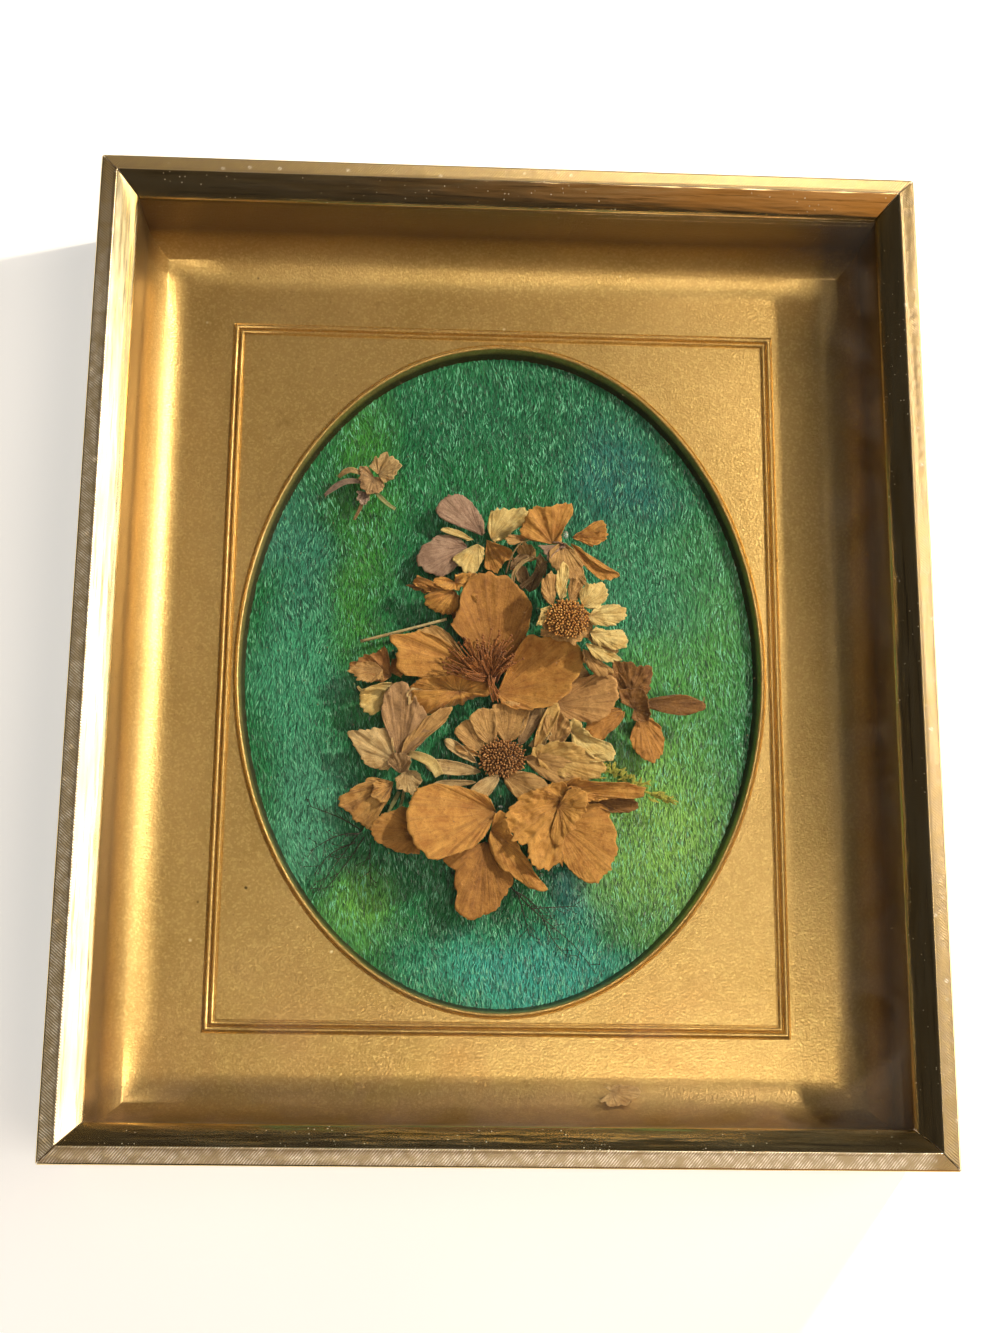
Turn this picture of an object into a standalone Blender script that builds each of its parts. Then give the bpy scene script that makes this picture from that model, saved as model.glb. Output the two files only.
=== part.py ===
"""Pressed flower frame: a deep shadow box lying on its back, front up.

Brass-clad wooden rails with mitred corners hold a glass pane. Behind it a moulded
gold liner sinks to a flat panel with an oval window, and behind the window dried
flowers are glued to cloth on a board. Metres, +Z towards the front of the frame,
+Y towards its top edge, origin at the centre of the back.
"""

import math

import bmesh
import bpy
from mathutils import Matrix, Vector

MM = 0.001
GAP = 0.3 * MM
CRISP_ANGLE = math.radians(35)

# Rim: brass-clad wooden rails, mitred at the corners
FRAME_W = 270 * MM
FRAME_H = 321 * MM
RIM_FACE = 12 * MM
FRONT_EDGE = 58 * MM
RIDGE_INSET = 5 * MM
RIDGE_RISE = 0.5 * MM
LIP_TOP = 52 * MM
LIP_UNDER = 50.7 * MM
CLADDING = 0.8 * MM
BACK_TURN = 6 * MM
RAIL_INNER = 7.6 * MM
MITRE_CLEARANCE = 0.25 * MM

# Glass and boards, cut for a 10 by 12 inch frame
PANE_W = 254 * MM
PANE_H = 304.8 * MM
GLASS_THICKNESS = 2 * MM
BACK_BOARD_Z = 3.2 * MM
BACK_BOARD_THICKNESS = 2 * MM
MOUNT_BOARD_THICKNESS = 2.5 * MM
CLOTH_W = 248 * MM
CLOTH_H = 300 * MM
CLOTH_THICKNESS = 1.2 * MM

# Liner: straight wall, cove, flat panel, two reeds round a rectangle, oval window
LINER_THICKNESS = 1.2 * MM
LINER_WALL = 0.3 * MM
WALL_DRAFT = 0.5 * MM
COVE_RADIUS = 15 * MM
COVE_STEPS = 6
PANEL_Z = 14.5 * MM
REED_HALF_W = 94 * MM
REED_HALF_H = 121 * MM
OVAL_HALF_W = 88.3 * MM
OVAL_HALF_H = 115 * MM
OVAL_STEPS = 56

# Flowers: thin plates in layers above the cloth
CLOTH_TOP = PANEL_Z - 5 * MM
PLATE = 0.5 * MM
FIRST_LAYER = 0.6 * MM
LAYER = 1.7 * MM
FLAKE_LAYER = 5.2  # rests on the cove of the liner


# ---------------------------------------------------------------- scene and materials


def clear_scene():
    for old in list(bpy.data.objects):
        bpy.data.objects.remove(old, do_unlink=True)


def make_collection(name):
    collection = bpy.data.collections.new(name)
    bpy.context.scene.collection.children.link(collection)
    return collection


def make_material(name, colour, roughness, metallic=0.0, alpha=1.0):
    material = bpy.data.materials.new(name)
    material.use_nodes = True
    shader = material.node_tree.nodes["Principled BSDF"]
    shader.inputs["Base Color"].default_value = (*colour, 1)
    shader.inputs["Roughness"].default_value = roughness
    shader.inputs["Metallic"].default_value = metallic
    shader.inputs["Alpha"].default_value = alpha
    return material


def add_object(name, data, material, place=(0, 0, 0)):
    made = bpy.data.objects.new(name, data)
    made.location = place
    data.materials.append(material)
    PARTS.objects.link(made)
    return made


def finish_mesh(name, shape, material, place=(0, 0, 0)):
    """Turns a bmesh into a named object: faces out, smooth except across crisp edges."""
    bmesh.ops.recalc_face_normals(shape, faces=shape.faces)
    for face in shape.faces:
        face.smooth = True
    for edge in shape.edges:
        edge.smooth = edge.calc_face_angle(0) < CRISP_ANGLE
    mesh = bpy.data.meshes.new(name)
    shape.to_mesh(mesh)
    shape.free()
    return add_object(name, mesh, material, place)


# ---------------------------------------------------------------- basic shapes


def box(name, size, centre, material):
    shape = bmesh.new()
    bmesh.ops.create_cube(shape, size=1)
    bmesh.ops.scale(shape, vec=size, verts=shape.verts)
    return finish_mesh(name, shape, material, centre)


def outline_curve(name, outlines, thickness):
    """A flat filled 2D curve; the first outline is the edge and the others are holes."""
    curve = bpy.data.curves.new(name, "CURVE")
    curve.dimensions = "2D"
    curve.fill_mode = "BOTH"
    curve.extrude = thickness / 2
    for outline in outlines:
        spline = curve.splines.new("POLY")
        spline.points.add(len(outline) - 1)
        for point, (x, y) in zip(spline.points, outline):
            point.co = (x, y, 0, 1)
        spline.use_cyclic_u = True
    return curve


def plate(name, outlines, thickness, underside, material):
    curve = outline_curve(name, outlines, thickness)
    return add_object(name, curve, material, (0, 0, underside + thickness / 2))


def circle(x, y, radius, steps=16):
    turn = 2 * math.pi / steps
    return [(x + radius * math.cos(i * turn), y + radius * math.sin(i * turn)) for i in range(steps)]


# ---------------------------------------------------------------- rim


def cladding_profile():
    """Brass sheet wrapped round a rail, as (distance in from the outside, height)."""
    outside = [
        (BACK_TURN, 0),
        (0.4 * MM, 0),
        (0, 0.4 * MM),
        (0, FRONT_EDGE - 0.5 * MM),
        (0.4 * MM, FRONT_EDGE),
        (RIDGE_INSET - 0.4 * MM, FRONT_EDGE + 0.35 * MM),
        (RIDGE_INSET, FRONT_EDGE + RIDGE_RISE),
        (RIDGE_INSET + 0.5 * MM, FRONT_EDGE + 0.35 * MM),
        (RIM_FACE - 0.2 * MM, LIP_TOP + 0.2 * MM),
        (RIM_FACE, LIP_TOP - 0.3 * MM),
        (RIM_FACE, LIP_UNDER + 0.2 * MM),
        (RIM_FACE - 0.2 * MM, LIP_UNDER),
        (RAIL_INNER + 2 * GAP, LIP_UNDER),
    ]
    inside = [
        (RAIL_INNER + 2 * GAP, LIP_UNDER + CLADDING),
        (RIM_FACE - 0.9 * MM, LIP_UNDER + CLADDING),
        (RIDGE_INSET - 0.1 * MM, FRONT_EDGE - 0.4 * MM),
        (CLADDING, FRONT_EDGE - CLADDING),
        (CLADDING, CLADDING),
        (BACK_TURN, CLADDING),
    ]
    return outside + inside


def core_profile():
    """Wooden rail inside the cladding, with the rabbet for glass, liner and boards."""
    outer = CLADDING + GAP
    return [
        (outer, outer),
        (outer, FRONT_EDGE - outer),
        (RIDGE_INSET - 0.7 * MM, FRONT_EDGE - 1 * MM),
        (RIM_FACE - 2.1 * MM, LIP_UNDER + outer),
        (RAIL_INNER, LIP_UNDER + outer),
        (RAIL_INNER, outer),
    ]


def mitred_rail(name, profile, length, half_depth, turn, material):
    """Extrudes the profile along the rail and cuts both ends at 45 degrees."""
    curve = outline_curve(name, [profile], length)
    guide = bpy.data.objects.new(name, curve)
    PARTS.objects.link(guide)
    depsgraph = bpy.context.evaluated_depsgraph_get()
    solid = bpy.data.meshes.new_from_object(guide.evaluated_get(depsgraph))
    bpy.data.objects.remove(guide, do_unlink=True)
    bpy.data.curves.remove(curve)

    shape = bmesh.new()
    shape.from_mesh(solid)
    bpy.data.meshes.remove(solid)
    bmesh.ops.remove_doubles(shape, verts=shape.verts, dist=0.00001)
    # The curve's depth becomes the rail's length, its x runs inwards and its y runs up.
    stand = Matrix(((0, 0, 1, 0), (1, 0, 0, -half_depth), (0, 1, 0, 0), (0, 0, 0, 1)))
    bmesh.ops.transform(shape, matrix=stand, verts=shape.verts)
    for side in (-1, 1):
        corner = Vector((side * (length / 2 - MITRE_CLEARANCE * math.sqrt(2)), -half_depth, 0))
        cut = bmesh.ops.bisect_plane(
            shape,
            geom=shape.verts[:] + shape.edges[:] + shape.faces[:],
            plane_co=corner,
            plane_no=Vector((side, 1, 0)),
            clear_outer=True,
        )
        rim = [edge for edge in cut["geom_cut"] if isinstance(edge, bmesh.types.BMEdge)]
        bmesh.ops.triangle_fill(shape, edges=rim, use_beauty=True, use_dissolve=False)
    bmesh.ops.rotate(shape, cent=(0, 0, 0), matrix=Matrix.Rotation(turn, 3, "Z"), verts=shape.verts)
    return finish_mesh(name, shape, material)


def build_rim():
    sides = [
        ("bottom", FRAME_W, FRAME_H / 2, 0),
        ("right", FRAME_H, FRAME_W / 2, math.pi / 2),
        ("top", FRAME_W, FRAME_H / 2, math.pi),
        ("left", FRAME_H, FRAME_W / 2, -math.pi / 2),
    ]
    for side, length, half_depth, turn in sides:
        mitred_rail("rim_" + side, cladding_profile(), length, half_depth, turn, BRASS)
        mitred_rail("rail_core_" + side, core_profile(), length, half_depth, turn, RAIL_WOOD)


# ---------------------------------------------------------------- liner


def rectangle_ring(shape, half_w, half_h, z):
    corners = ((-1, -1), (1, -1), (1, 1), (-1, 1))
    return [shape.verts.new((x * half_w, y * half_h, z)) for x, y in corners]


def oval_ring(shape, half_w, half_h, z):
    turn = 2 * math.pi / OVAL_STEPS
    angles = [(i + 0.5) * turn for i in range(OVAL_STEPS)]
    return [shape.verts.new((half_w * math.cos(a), half_h * math.sin(a), z)) for a in angles]


def skin(shape, rings):
    """Joins each ring of points to the next with a band of faces."""
    for first, second in zip(rings, rings[1:]):
        for i in range(len(first)):
            j = (i + 1) % len(first)
            shape.faces.new((first[i], first[j], second[j], second[i]))


def fill_between(shape, outer, inner):
    edges = []
    for ring in (outer, inner):
        for i in range(len(ring)):
            pair = (ring[i], ring[(i + 1) % len(ring)])
            edges.append(shape.edges.get(pair) or shape.edges.new(pair))
    bmesh.ops.triangle_fill(shape, edges=edges, use_beauty=True, use_dissolve=False)


def build_liner():
    """A pressed tray whose sections change from rectangles to ovals, lofted ring by ring."""
    shape = bmesh.new()
    wall_x = FRAME_W / 2 - RIM_FACE + LINER_WALL
    wall_y = FRAME_H / 2 - RIM_FACE + LINER_WALL
    flange_top = LIP_UNDER - GAP - GLASS_THICKNESS - GAP
    flange_reach = PANE_W / 2 - wall_x
    cove_z = PANEL_Z + COVE_RADIUS

    def inset_ring(inset, z):
        return rectangle_ring(shape, wall_x - inset, wall_y - inset, z)

    def cove_ring(radius, angle):
        inset = WALL_DRAFT + COVE_RADIUS - radius * math.cos(angle)
        return inset_ring(inset, cove_z - radius * math.sin(angle))

    quarter = [math.pi / 2 * i / COVE_STEPS for i in range(COVE_STEPS + 1)]
    front = [inset_ring(-flange_reach, flange_top), inset_ring(0, flange_top)]
    front += [cove_ring(COVE_RADIUS, angle) for angle in quarter]

    # Reeds as (distance in from their outer edge, height above the panel), in mm
    reeds = [(0, 0), (0.35, -0.4), (0.8, 0.35), (1.3, 0.55), (1.8, 0.35), (2.2, -0.3)]
    reeds += [(2.7, 0.3), (3.2, 0.5), (3.7, 0.3), (4.1, -0.15), (4.5, 0)]
    front += [
        rectangle_ring(shape, REED_HALF_W - i * MM, REED_HALF_H - i * MM, PANEL_Z + z * MM)
        for i, z in reeds
    ]

    # Bead and turned-down lip of the oval, then the back of the same edge
    lip = [(-0.8, 0), (-0.4, -0.4), (0, 0.1), (0.35, 0.65), (0.9, 0.65), (1.3, 0.2)]
    lip += [(2.0, -1.2), (2.7, -3.0), (3.1, -4.7), (1.9, -4.7), (0.6, -1.6), (-0.8, -1.2)]
    oval = [
        oval_ring(shape, OVAL_HALF_W - i * MM, OVAL_HALF_H - i * MM, PANEL_Z + z * MM)
        for i, z in lip
    ]

    back_radius = COVE_RADIUS + LINER_THICKNESS
    back = [cove_ring(back_radius, angle) for angle in reversed(quarter[::2])]
    under_flange = flange_top - LINER_THICKNESS
    back += [inset_ring(-LINER_THICKNESS, under_flange), inset_ring(-flange_reach, under_flange)]

    skin(shape, front)
    skin(shape, oval)
    skin(shape, back + [front[0]])
    fill_between(shape, front[-1], oval[0])
    fill_between(shape, back[0], oval[-1])
    finish_mesh("liner", shape, GOLD_LINER)


# ---------------------------------------------------------------- glass, boards, fixings


def build_glass_and_boards():
    glass_z = LIP_UNDER - GAP - GLASS_THICKNESS / 2
    box("glass_pane", (PANE_W, PANE_H, GLASS_THICKNESS), (0, 0, glass_z), GLASS)

    cloth_z = CLOTH_TOP - CLOTH_THICKNESS / 2
    box("velvet_cloth", (CLOTH_W, CLOTH_H, CLOTH_THICKNESS), (0, 0, cloth_z), VELVET)

    mount_z = CLOTH_TOP - CLOTH_THICKNESS - GAP - MOUNT_BOARD_THICKNESS / 2
    box("mounting_board", (PANE_W, PANE_H, MOUNT_BOARD_THICKNESS), (0, 0, mount_z), CARD)

    back_z = BACK_BOARD_Z + BACK_BOARD_THICKNESS / 2
    box("back_board", (PANE_W, PANE_H, BACK_BOARD_THICKNESS), (0, 0, back_z), BACK_CARD)


def build_points():
    """Flat steel points that keep the back board in the rabbet."""
    length, width, thickness = 9 * MM, 6 * MM, 0.6 * MM
    z = BACK_BOARD_Z - GAP - thickness / 2
    x = FRAME_W / 2 - RAIL_INNER - GAP - length / 2
    y = FRAME_H / 2 - RAIL_INNER - GAP - length / 2
    places = [(side * x, level * 85 * MM, length, width) for side in (-1, 1) for level in (-1, 1)]
    places += [(0, side * y, width, length) for side in (-1, 1)]
    for number, (px, py, size_x, size_y) in enumerate(places, 1):
        box(f"framers_point_{number}", (size_x, size_y, thickness), (px, py, z), STEEL)


def build_hanger():
    """Sawtooth hanger riveted to the back board below the top rail."""
    half_length, top, teeth_y, tooth, teeth = 22 * MM, 5 * MM, -4 * MM, 1.2 * MM, 10
    centre_y, thickness, hole = 128 * MM, 0.9 * MM, 1.6 * MM
    rivet_x = 19 * MM
    pitch = 28 * MM / teeth
    edge = [(-half_length, top), (-half_length, teeth_y)]
    for i in range(teeth):
        start = -teeth * pitch / 2 + i * pitch
        edge += [(start, teeth_y), (start + pitch / 2, teeth_y + tooth)]
    edge += [(teeth * pitch / 2, teeth_y), (half_length, teeth_y), (half_length, top)]
    edge = [(x, y + centre_y) for x, y in edge]
    holes = [circle(side * rivet_x, centre_y, hole, 12) for side in (-1, 1)]
    underside = BACK_BOARD_Z - GAP - thickness
    plate("sawtooth_hanger", [edge] + holes, thickness, underside, STEEL)

    head_z = underside - GAP
    profile = [(0, head_z - 0.7 * MM), (1.6 * MM, head_z - 0.6 * MM), (2.5 * MM, head_z - 0.2 * MM)]
    profile += [(2.5 * MM, head_z), (1.2 * MM, head_z), (1.2 * MM, underside + thickness)]
    profile += [(0, underside + thickness)]
    for label, side in (("left", -1), ("right", 1)):
        name = "hanger_rivet_" + label
        mesh = bpy.data.meshes.new(name)
        # The Screw profile at +X runs down its outer side.
        downwards = [(r, 0, z) for r, z in reversed(profile)]
        mesh.from_pydata(downwards, [(i, i + 1) for i in range(len(downwards) - 1)], [])
        rivet = add_object(name, mesh, STEEL, (side * rivet_x, centre_y, 0))
        turned = rivet.modifiers.new("turned", "SCREW")
        turned.steps = turned.render_steps = 12
        turned.use_merge_vertices = True
        turned.merge_threshold = 0.00001


# ---------------------------------------------------------------- flowers


def layer_z(layer):
    return CLOTH_TOP + FIRST_LAYER + layer * LAYER


def petal(name, base, tip, half_width, layer, material, thickness=PLATE):
    """A leaf-shaped plate, widest past its middle, from base to tip (mm)."""
    base, tip = Vector(base) * MM, Vector(tip) * MM
    along = tip - base
    across = Vector((-along.y, along.x)).normalized() * half_width * MM
    steps = 7
    stations = [i / steps for i in range(1, steps)]
    spread = [math.sin(math.pi * t**1.3) ** 0.6 for t in stations]
    left = [base + along * t + across * w for t, w in zip(stations, spread)]
    right = [base + along * t - across * w for t, w in zip(stations, spread)]
    outline = [tuple(p) for p in [base] + right + [tip] + left[::-1]]
    plate(name, [outline], thickness, layer_z(layer), material)


def lobe_reach(angle, lobe):
    """Distance from the centre to the edge of one oval lobe that starts there."""
    heading, reach, half_width = lobe
    off = math.radians(angle - heading)
    if math.cos(off) <= 0:
        return 0
    half = reach / 2
    below = (half_width * math.cos(off)) ** 2 + (half * math.sin(off)) ** 2
    return 2 * half * half_width**2 * math.cos(off) / below


def floret(name, centre, lobes, layer, material, core=1.5, thickness=PLATE, fan=(3, 8, 16, 30)):
    """A plate of oval lobes round a centre; each lobe is (heading, reach, half width)."""
    offsets = [side * off for off in (0,) + fan for side in (-1, 1)]
    angles = sorted({round((lobe[0] + off) % 360, 1) for lobe in lobes for off in offsets})
    outline = []
    for angle in angles:
        reach = max([core] + [lobe_reach(angle, lobe) for lobe in lobes])
        x = centre[0] + reach * math.cos(math.radians(angle))
        y = centre[1] + reach * math.sin(math.radians(angle))
        outline.append((x * MM, y * MM))
    plate(name, [outline], thickness, layer_z(layer), material)


def seed_disc(name, centre, half_w, half_h, height, layer, material):
    """Domed centre of a daisy: the upper half of a flattened ball on a flat base."""
    shape = bmesh.new()
    bmesh.ops.create_uvsphere(shape, u_segments=16, v_segments=8, radius=1)
    bmesh.ops.bisect_plane(
        shape,
        geom=shape.verts[:] + shape.edges[:] + shape.faces[:],
        plane_co=(0, 0, -0.05),
        plane_no=(0, 0, -1),
        clear_outer=True,
    )
    open_edges = [edge for edge in shape.edges if edge.is_boundary]
    bmesh.ops.contextual_create(shape, geom=open_edges)
    bmesh.ops.scale(shape, vec=(half_w * MM, half_h * MM, height * MM), verts=shape.verts)
    place = (centre[0] * MM, centre[1] * MM, layer_z(layer) + 0.1 * MM)
    finish_mesh(name, shape, material, place)


def straw(name, centre, length, radius, heading, layer, material):
    shape = bmesh.new()
    bmesh.ops.create_cone(
        shape, cap_ends=True, segments=10, radius1=radius, radius2=radius, depth=length
    )
    lay_down = Matrix.Rotation(heading, 3, "Z") @ Matrix.Rotation(math.pi / 2, 3, "Y")
    bmesh.ops.rotate(shape, cent=(0, 0, 0), matrix=lay_down, verts=shape.verts)
    place = (centre[0] * MM, centre[1] * MM, layer_z(layer) + radius)
    finish_mesh(name, shape, material, place)


def build_upper_flowers():
    loose = [(58, 13, 5), (170, 12, 2.5), (318, 13, 1.5), (250, 12, 1.5)]
    floret("loose_floret", (-46, 61), loose, 3, PALE_TAN)
    mauve = [(128, 18, 6), (202, 22, 7), (165, 15, 2), (238, 12, 5), (60, 13, 6), (300, 11, 4.5)]
    floret("mauve_floret", (-7, 44), mauve, 3, MAUVE)
    orange = [(112, 16, 8), (25, 15, 4.5), (323, 23, 3), (290, 16, 5), (180, 18, 2)]
    floret("orange_floret", (20.5, 41), orange, 8, AMBER)
    calyx = [(95, 10, 2), (150, 9, 1.5), (30, 9, 2), (290, 9, 2.5), (210, 6, 2)]
    floret("dried_calyx", (8, 34), calyx, 4, GREY_BROWN)
    bud = [(165, 13, 2.5), (270, 8, 5), (70, 8, 5), (340, 6, 4)]
    floret("amber_bud", (-20, 25), bud, 5, AMBER, 4, 1.4 * MM)
    rays = [(62, 15, 4.5), (12, 20, 4.5), (340, 20, 3.6), (318, 20, 2.4)]
    rays += [(300, 18, 2), (190, 10, 5), (120, 16, 4)]
    floret("yellow_daisy_rays", (21, 12.6), rays, 11, CREAM, 6)
    seed_disc("yellow_daisy_disc", (21, 13.4), 7.5, 7, 2, 12, ORANGE_BROWN)
    straw("straw_stem", (-32.8, 11.3), 28.6 * MM, 0.5 * MM, math.radians(16.2), 2, STRAW)


def build_middle_flowers():
    petal("amber_flower_petal_left", (-6, -0.5), (-36, 3), 8, 4, AMBER)
    petal("amber_flower_petal_lower", (-3, -9), (-29, -12), 6, 6, AMBER)
    petal("amber_flower_petal_top", (-2, -5), (-3, 31.5), 14, 7, AMBER)
    petal("amber_flower_petal_right", (-1, -10), (26.5, -1.5), 12, 8, AMBER)
    stamens = [(60, 11, 3), (95, 12, 3), (130, 14, 3), (165, 15, 3)]
    floret("amber_flower_stamens", (-4, -4.5), stamens, 9, RUST, 4, 1.2 * MM)

    petal("brown_petal", (-33, -5), (-50, -1), 5, 3, TAN)
    petal("yellow_petal", (-33, -7), (-44, -17), 4.5, 4, CREAM)
    petal("mauve_petal", (-31, -8), (-34, -28), 4.5, 5, MAUVE)
    side = [(140, 19, 7), (48, 26, 3), (345, 14, 2.5), (290, 8, 3)]
    floret("side_floret", (-34, -34), side, 4, TAN, 3)
    petal("fan_petal", (-35, -42), (-51, -50), 7, 2, AMBER)
    petal("dark_amber_petal", (-28, -54.5), (-42, -56.5), 6.5, 6, AMBER)

    rays = [(132, 18, 4.5), (108, 19, 4.5), (72, 17, 6), (48, 20, 3), (170, 19, 3), (185, 24, 2)]
    rays += [(200, 21, 1.2), (232, 17, 3), (305, 19, 6), (352, 30, 5)]
    floret("brown_daisy_rays", (0, -30), rays, 5, TAN, 6)
    seed_disc("brown_daisy_disc", (0, -30.5), 8, 5.5, 2.2, 6, ORANGE_BROWN)

    rust = [(92, 14, 4.5), (2, 24, 3), (288, 20, 5.5), (210, 6, 3)]
    floret("rust_floret", (43, -12), rust, 6, RUST, 3)
    petal("tan_petal", (19, -12), (39, -9), 7.5, 7, TAN)
    petal("rust_petal", (40, -15), (29, -23), 3.8, 5, RUST)
    floret("yellow_floret", (19, -24), [(345, 19, 4.5), (108, 11, 2.5), (228, 8, 3)], 6, CREAM, 3)


def build_lower_flowers():
    petal("lower_flower_petal_left", (-1, -50.5), (-29, -58.5), 11, 10, AMBER)
    petal("lower_flower_petal_bottom", (-4, -58), (-8, -83), 9, 4, AMBER)
    petal("lower_flower_petal_curled", (0, -49.5), (12, -73.5), 4.5, 7, CREAM)
    petal("lower_flower_petal_crumpled", (22, -42.5), (6, -62.5), 8.5, 6, AMBER)
    petal("lower_flower_petal_ragged", (16, -40.5), (47, -41.5), 3.6, 8, AMBER)
    petal("lower_flower_petal_right", (14, -57), (39, -62), 10.5, 4, AMBER)
    floret("frond_tip", (40, -41), [(352, 17, 1.8), (140, 8, 2.5), (95, 6, 2)], 3, YELLOW_GREEN)

    fine = (1, 3, 8, 25)
    bottom = [(308, 23, 0.8), (7, 13.5, 0.7), (132, 12, 0.8), (255, 10, 0.8), (282, 9, 0.8)]
    floret("grass_sprig_bottom", (11, -80), bottom, 1, DARK_GRASS, 0.6, PLATE, fine)
    left = [(230, 13, 0.8), (215, 12, 0.8), (200, 9, 0.7), (75, 14, 0.8), (300, 12, 0.8)]
    floret("grass_sprig_left", (-51, -66), left, 1, DARK_GRASS, 0.6, PLATE, fine)


def build_loose_flake():
    """A flake of petal that has dropped onto the cove below the oval."""
    lobes = [(10, 9, 2.2), (190, 7, 2.4), (60, 4, 2)]
    floret("loose_flake", (38, -139), lobes, FLAKE_LAYER, PALE_TAN, 1.2)


def main():
    build_rim()
    build_liner()
    build_glass_and_boards()
    build_points()
    build_hanger()
    build_upper_flowers()
    build_middle_flowers()
    build_lower_flowers()
    build_loose_flake()


clear_scene()
PARTS = make_collection("pressed_flower_frame")

BRASS = make_material("brass_cladding", (0.62, 0.46, 0.2), 0.18, 1.0)
RAIL_WOOD = make_material("rail_wood", (0.5, 0.36, 0.2), 0.7)
GLASS = make_material("window_glass", (0.95, 0.97, 0.96), 0.03, 0.0, 0.25)
GOLD_LINER = make_material("gold_lacquered_plastic", (0.5, 0.32, 0.11), 0.42, 0.6)
VELVET = make_material("green_velvet", (0.03, 0.2, 0.12), 0.9)
CARD = make_material("grey_card", (0.42, 0.38, 0.32), 0.9)
BACK_CARD = make_material("kraft_card", (0.4, 0.28, 0.17), 0.9)
STEEL = make_material("zinc_plated_steel", (0.5, 0.5, 0.5), 0.35, 1.0)
AMBER = make_material("amber_petal", (0.55, 0.28, 0.08), 0.7)
TAN = make_material("tan_petal", (0.4, 0.24, 0.11), 0.75)
MAUVE = make_material("mauve_petal", (0.38, 0.23, 0.15), 0.75)
CREAM = make_material("cream_petal", (0.66, 0.45, 0.16), 0.7)
RUST = make_material("rust_petal", (0.34, 0.13, 0.04), 0.7)
PALE_TAN = make_material("pale_tan_petal", (0.5, 0.33, 0.15), 0.75)
GREY_BROWN = make_material("grey_brown_calyx", (0.2, 0.15, 0.08), 0.85)
ORANGE_BROWN = make_material("seed_head", (0.34, 0.16, 0.04), 0.85)
STRAW = make_material("straw", (0.5, 0.38, 0.17), 0.6)
YELLOW_GREEN = make_material("yellow_green_frond", (0.3, 0.28, 0.05), 0.75)
DARK_GRASS = make_material("dark_grass", (0.05, 0.04, 0.025), 0.8)

main()
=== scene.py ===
# %% [markdown]
# # A pressed flower frame
# A deep frame lies on its back. Brass-wrapped rails hold a pane of glass, a gold liner
# sinks behind it to a panel with an oval window, and dried flowers stand on green
# velvet inside the window. This lesson dresses a fixed frame of plain solids: each cell
# makes one piece or one finish, and prints what it made.

import math
import random

import bmesh
import bpy
import numpy as np
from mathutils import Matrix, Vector, noise


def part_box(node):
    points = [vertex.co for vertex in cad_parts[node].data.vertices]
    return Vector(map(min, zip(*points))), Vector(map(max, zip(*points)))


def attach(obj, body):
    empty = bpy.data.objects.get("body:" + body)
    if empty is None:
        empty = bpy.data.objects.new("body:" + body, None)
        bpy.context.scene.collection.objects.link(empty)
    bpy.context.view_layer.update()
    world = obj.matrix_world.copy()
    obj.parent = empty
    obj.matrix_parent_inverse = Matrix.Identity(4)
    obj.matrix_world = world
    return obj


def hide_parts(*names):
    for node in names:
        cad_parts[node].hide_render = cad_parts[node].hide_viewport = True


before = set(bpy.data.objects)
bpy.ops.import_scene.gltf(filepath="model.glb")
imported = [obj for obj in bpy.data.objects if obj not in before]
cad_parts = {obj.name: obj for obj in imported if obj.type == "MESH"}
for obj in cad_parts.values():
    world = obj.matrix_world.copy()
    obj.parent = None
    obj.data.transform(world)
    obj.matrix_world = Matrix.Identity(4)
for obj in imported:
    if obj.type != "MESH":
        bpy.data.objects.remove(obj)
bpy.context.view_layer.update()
MM = 0.001
print("nodes:", len(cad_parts))

# %% [markdown]
# Colours are written as the hex values a painter would pick on a screen. Shaders work
# in linear light, so one function turns hex to linear.
#
# Every node is added by one helper. It sets the node's own settings, then each input:
# a socket is linked, and anything else is written into the input. Patterns are placed in
# millimetres, so a texture's Scale says how many of its cells fit in 1 mm: 0.2 makes
# patches about 5 mm across.


# %% Colour and node helpers
def linear(hex_colour):
    channels = [int(hex_colour[i:i + 2], 16) / 255 for i in (1, 3, 5)]
    return (*[c / 12.92 if c <= 0.04045 else ((c + 0.055) / 1.055) ** 2.4 for c in channels], 1)


def shown(sockets, name=None):
    """The first socket in use, or the one in use with that name."""
    return next(s for s in sockets if s.enabled and name in (None, s.name))


def set_inputs(tree, node, inputs):
    """Each value is a number, a hex colour, or a node or socket to link. A name may use _ for a space."""
    for name, value in inputs.items():
        socket = node.inputs[name] if isinstance(name, int) else shown(node.inputs, name.replace("_", " "))
        if isinstance(value, bpy.types.Node):
            value = shown(value.outputs)
        if isinstance(value, bpy.types.NodeSocket):
            tree.links.new(value, socket)
        else:
            socket.default_value = linear(value) if isinstance(value, str) else value


def add_node(tree, kind, inputs=None, stops=(), **settings):
    """Adds one node with its settings and inputs. stops are a colour ramp's (place, hex) pairs."""
    node = tree.nodes.new("ShaderNode" + kind)
    for name, value in settings.items():
        setattr(node, name, value)
    for i, (place, colour) in enumerate(stops):
        stop = node.color_ramp.elements[i] if i < 2 else node.color_ramp.elements.new(place)
        stop.position, stop.color = place, linear(colour)
    set_inputs(tree, node, inputs or {})
    return node


def new_material(name):
    material = bpy.data.materials.new(name)
    material.use_nodes = True
    return material, material.node_tree, material.node_tree.nodes["Principled BSDF"]


def millimetres(tree, scale=(1, 1, 1)):
    """Object coordinates in millimetres, stretched by scale."""
    place = add_node(tree, "TexCoord").outputs["Object"]
    size = [1000 * s for s in scale]
    return add_node(tree, "Mapping", {"Vector": place, "Scale": size})


print("sRGB #808080 is", round(linear("#808080")[0], 3), "in linear light")

# %% [markdown]
# A piece is a mesh in the frame's own coordinates. It could be modelled by hand from
# primitives, but rails, trays and petals are all grids of points, so one helper turns
# points and faces into an object, gives it its finish, ties it to the frame's body and
# says which plain solid it stands for.


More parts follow.
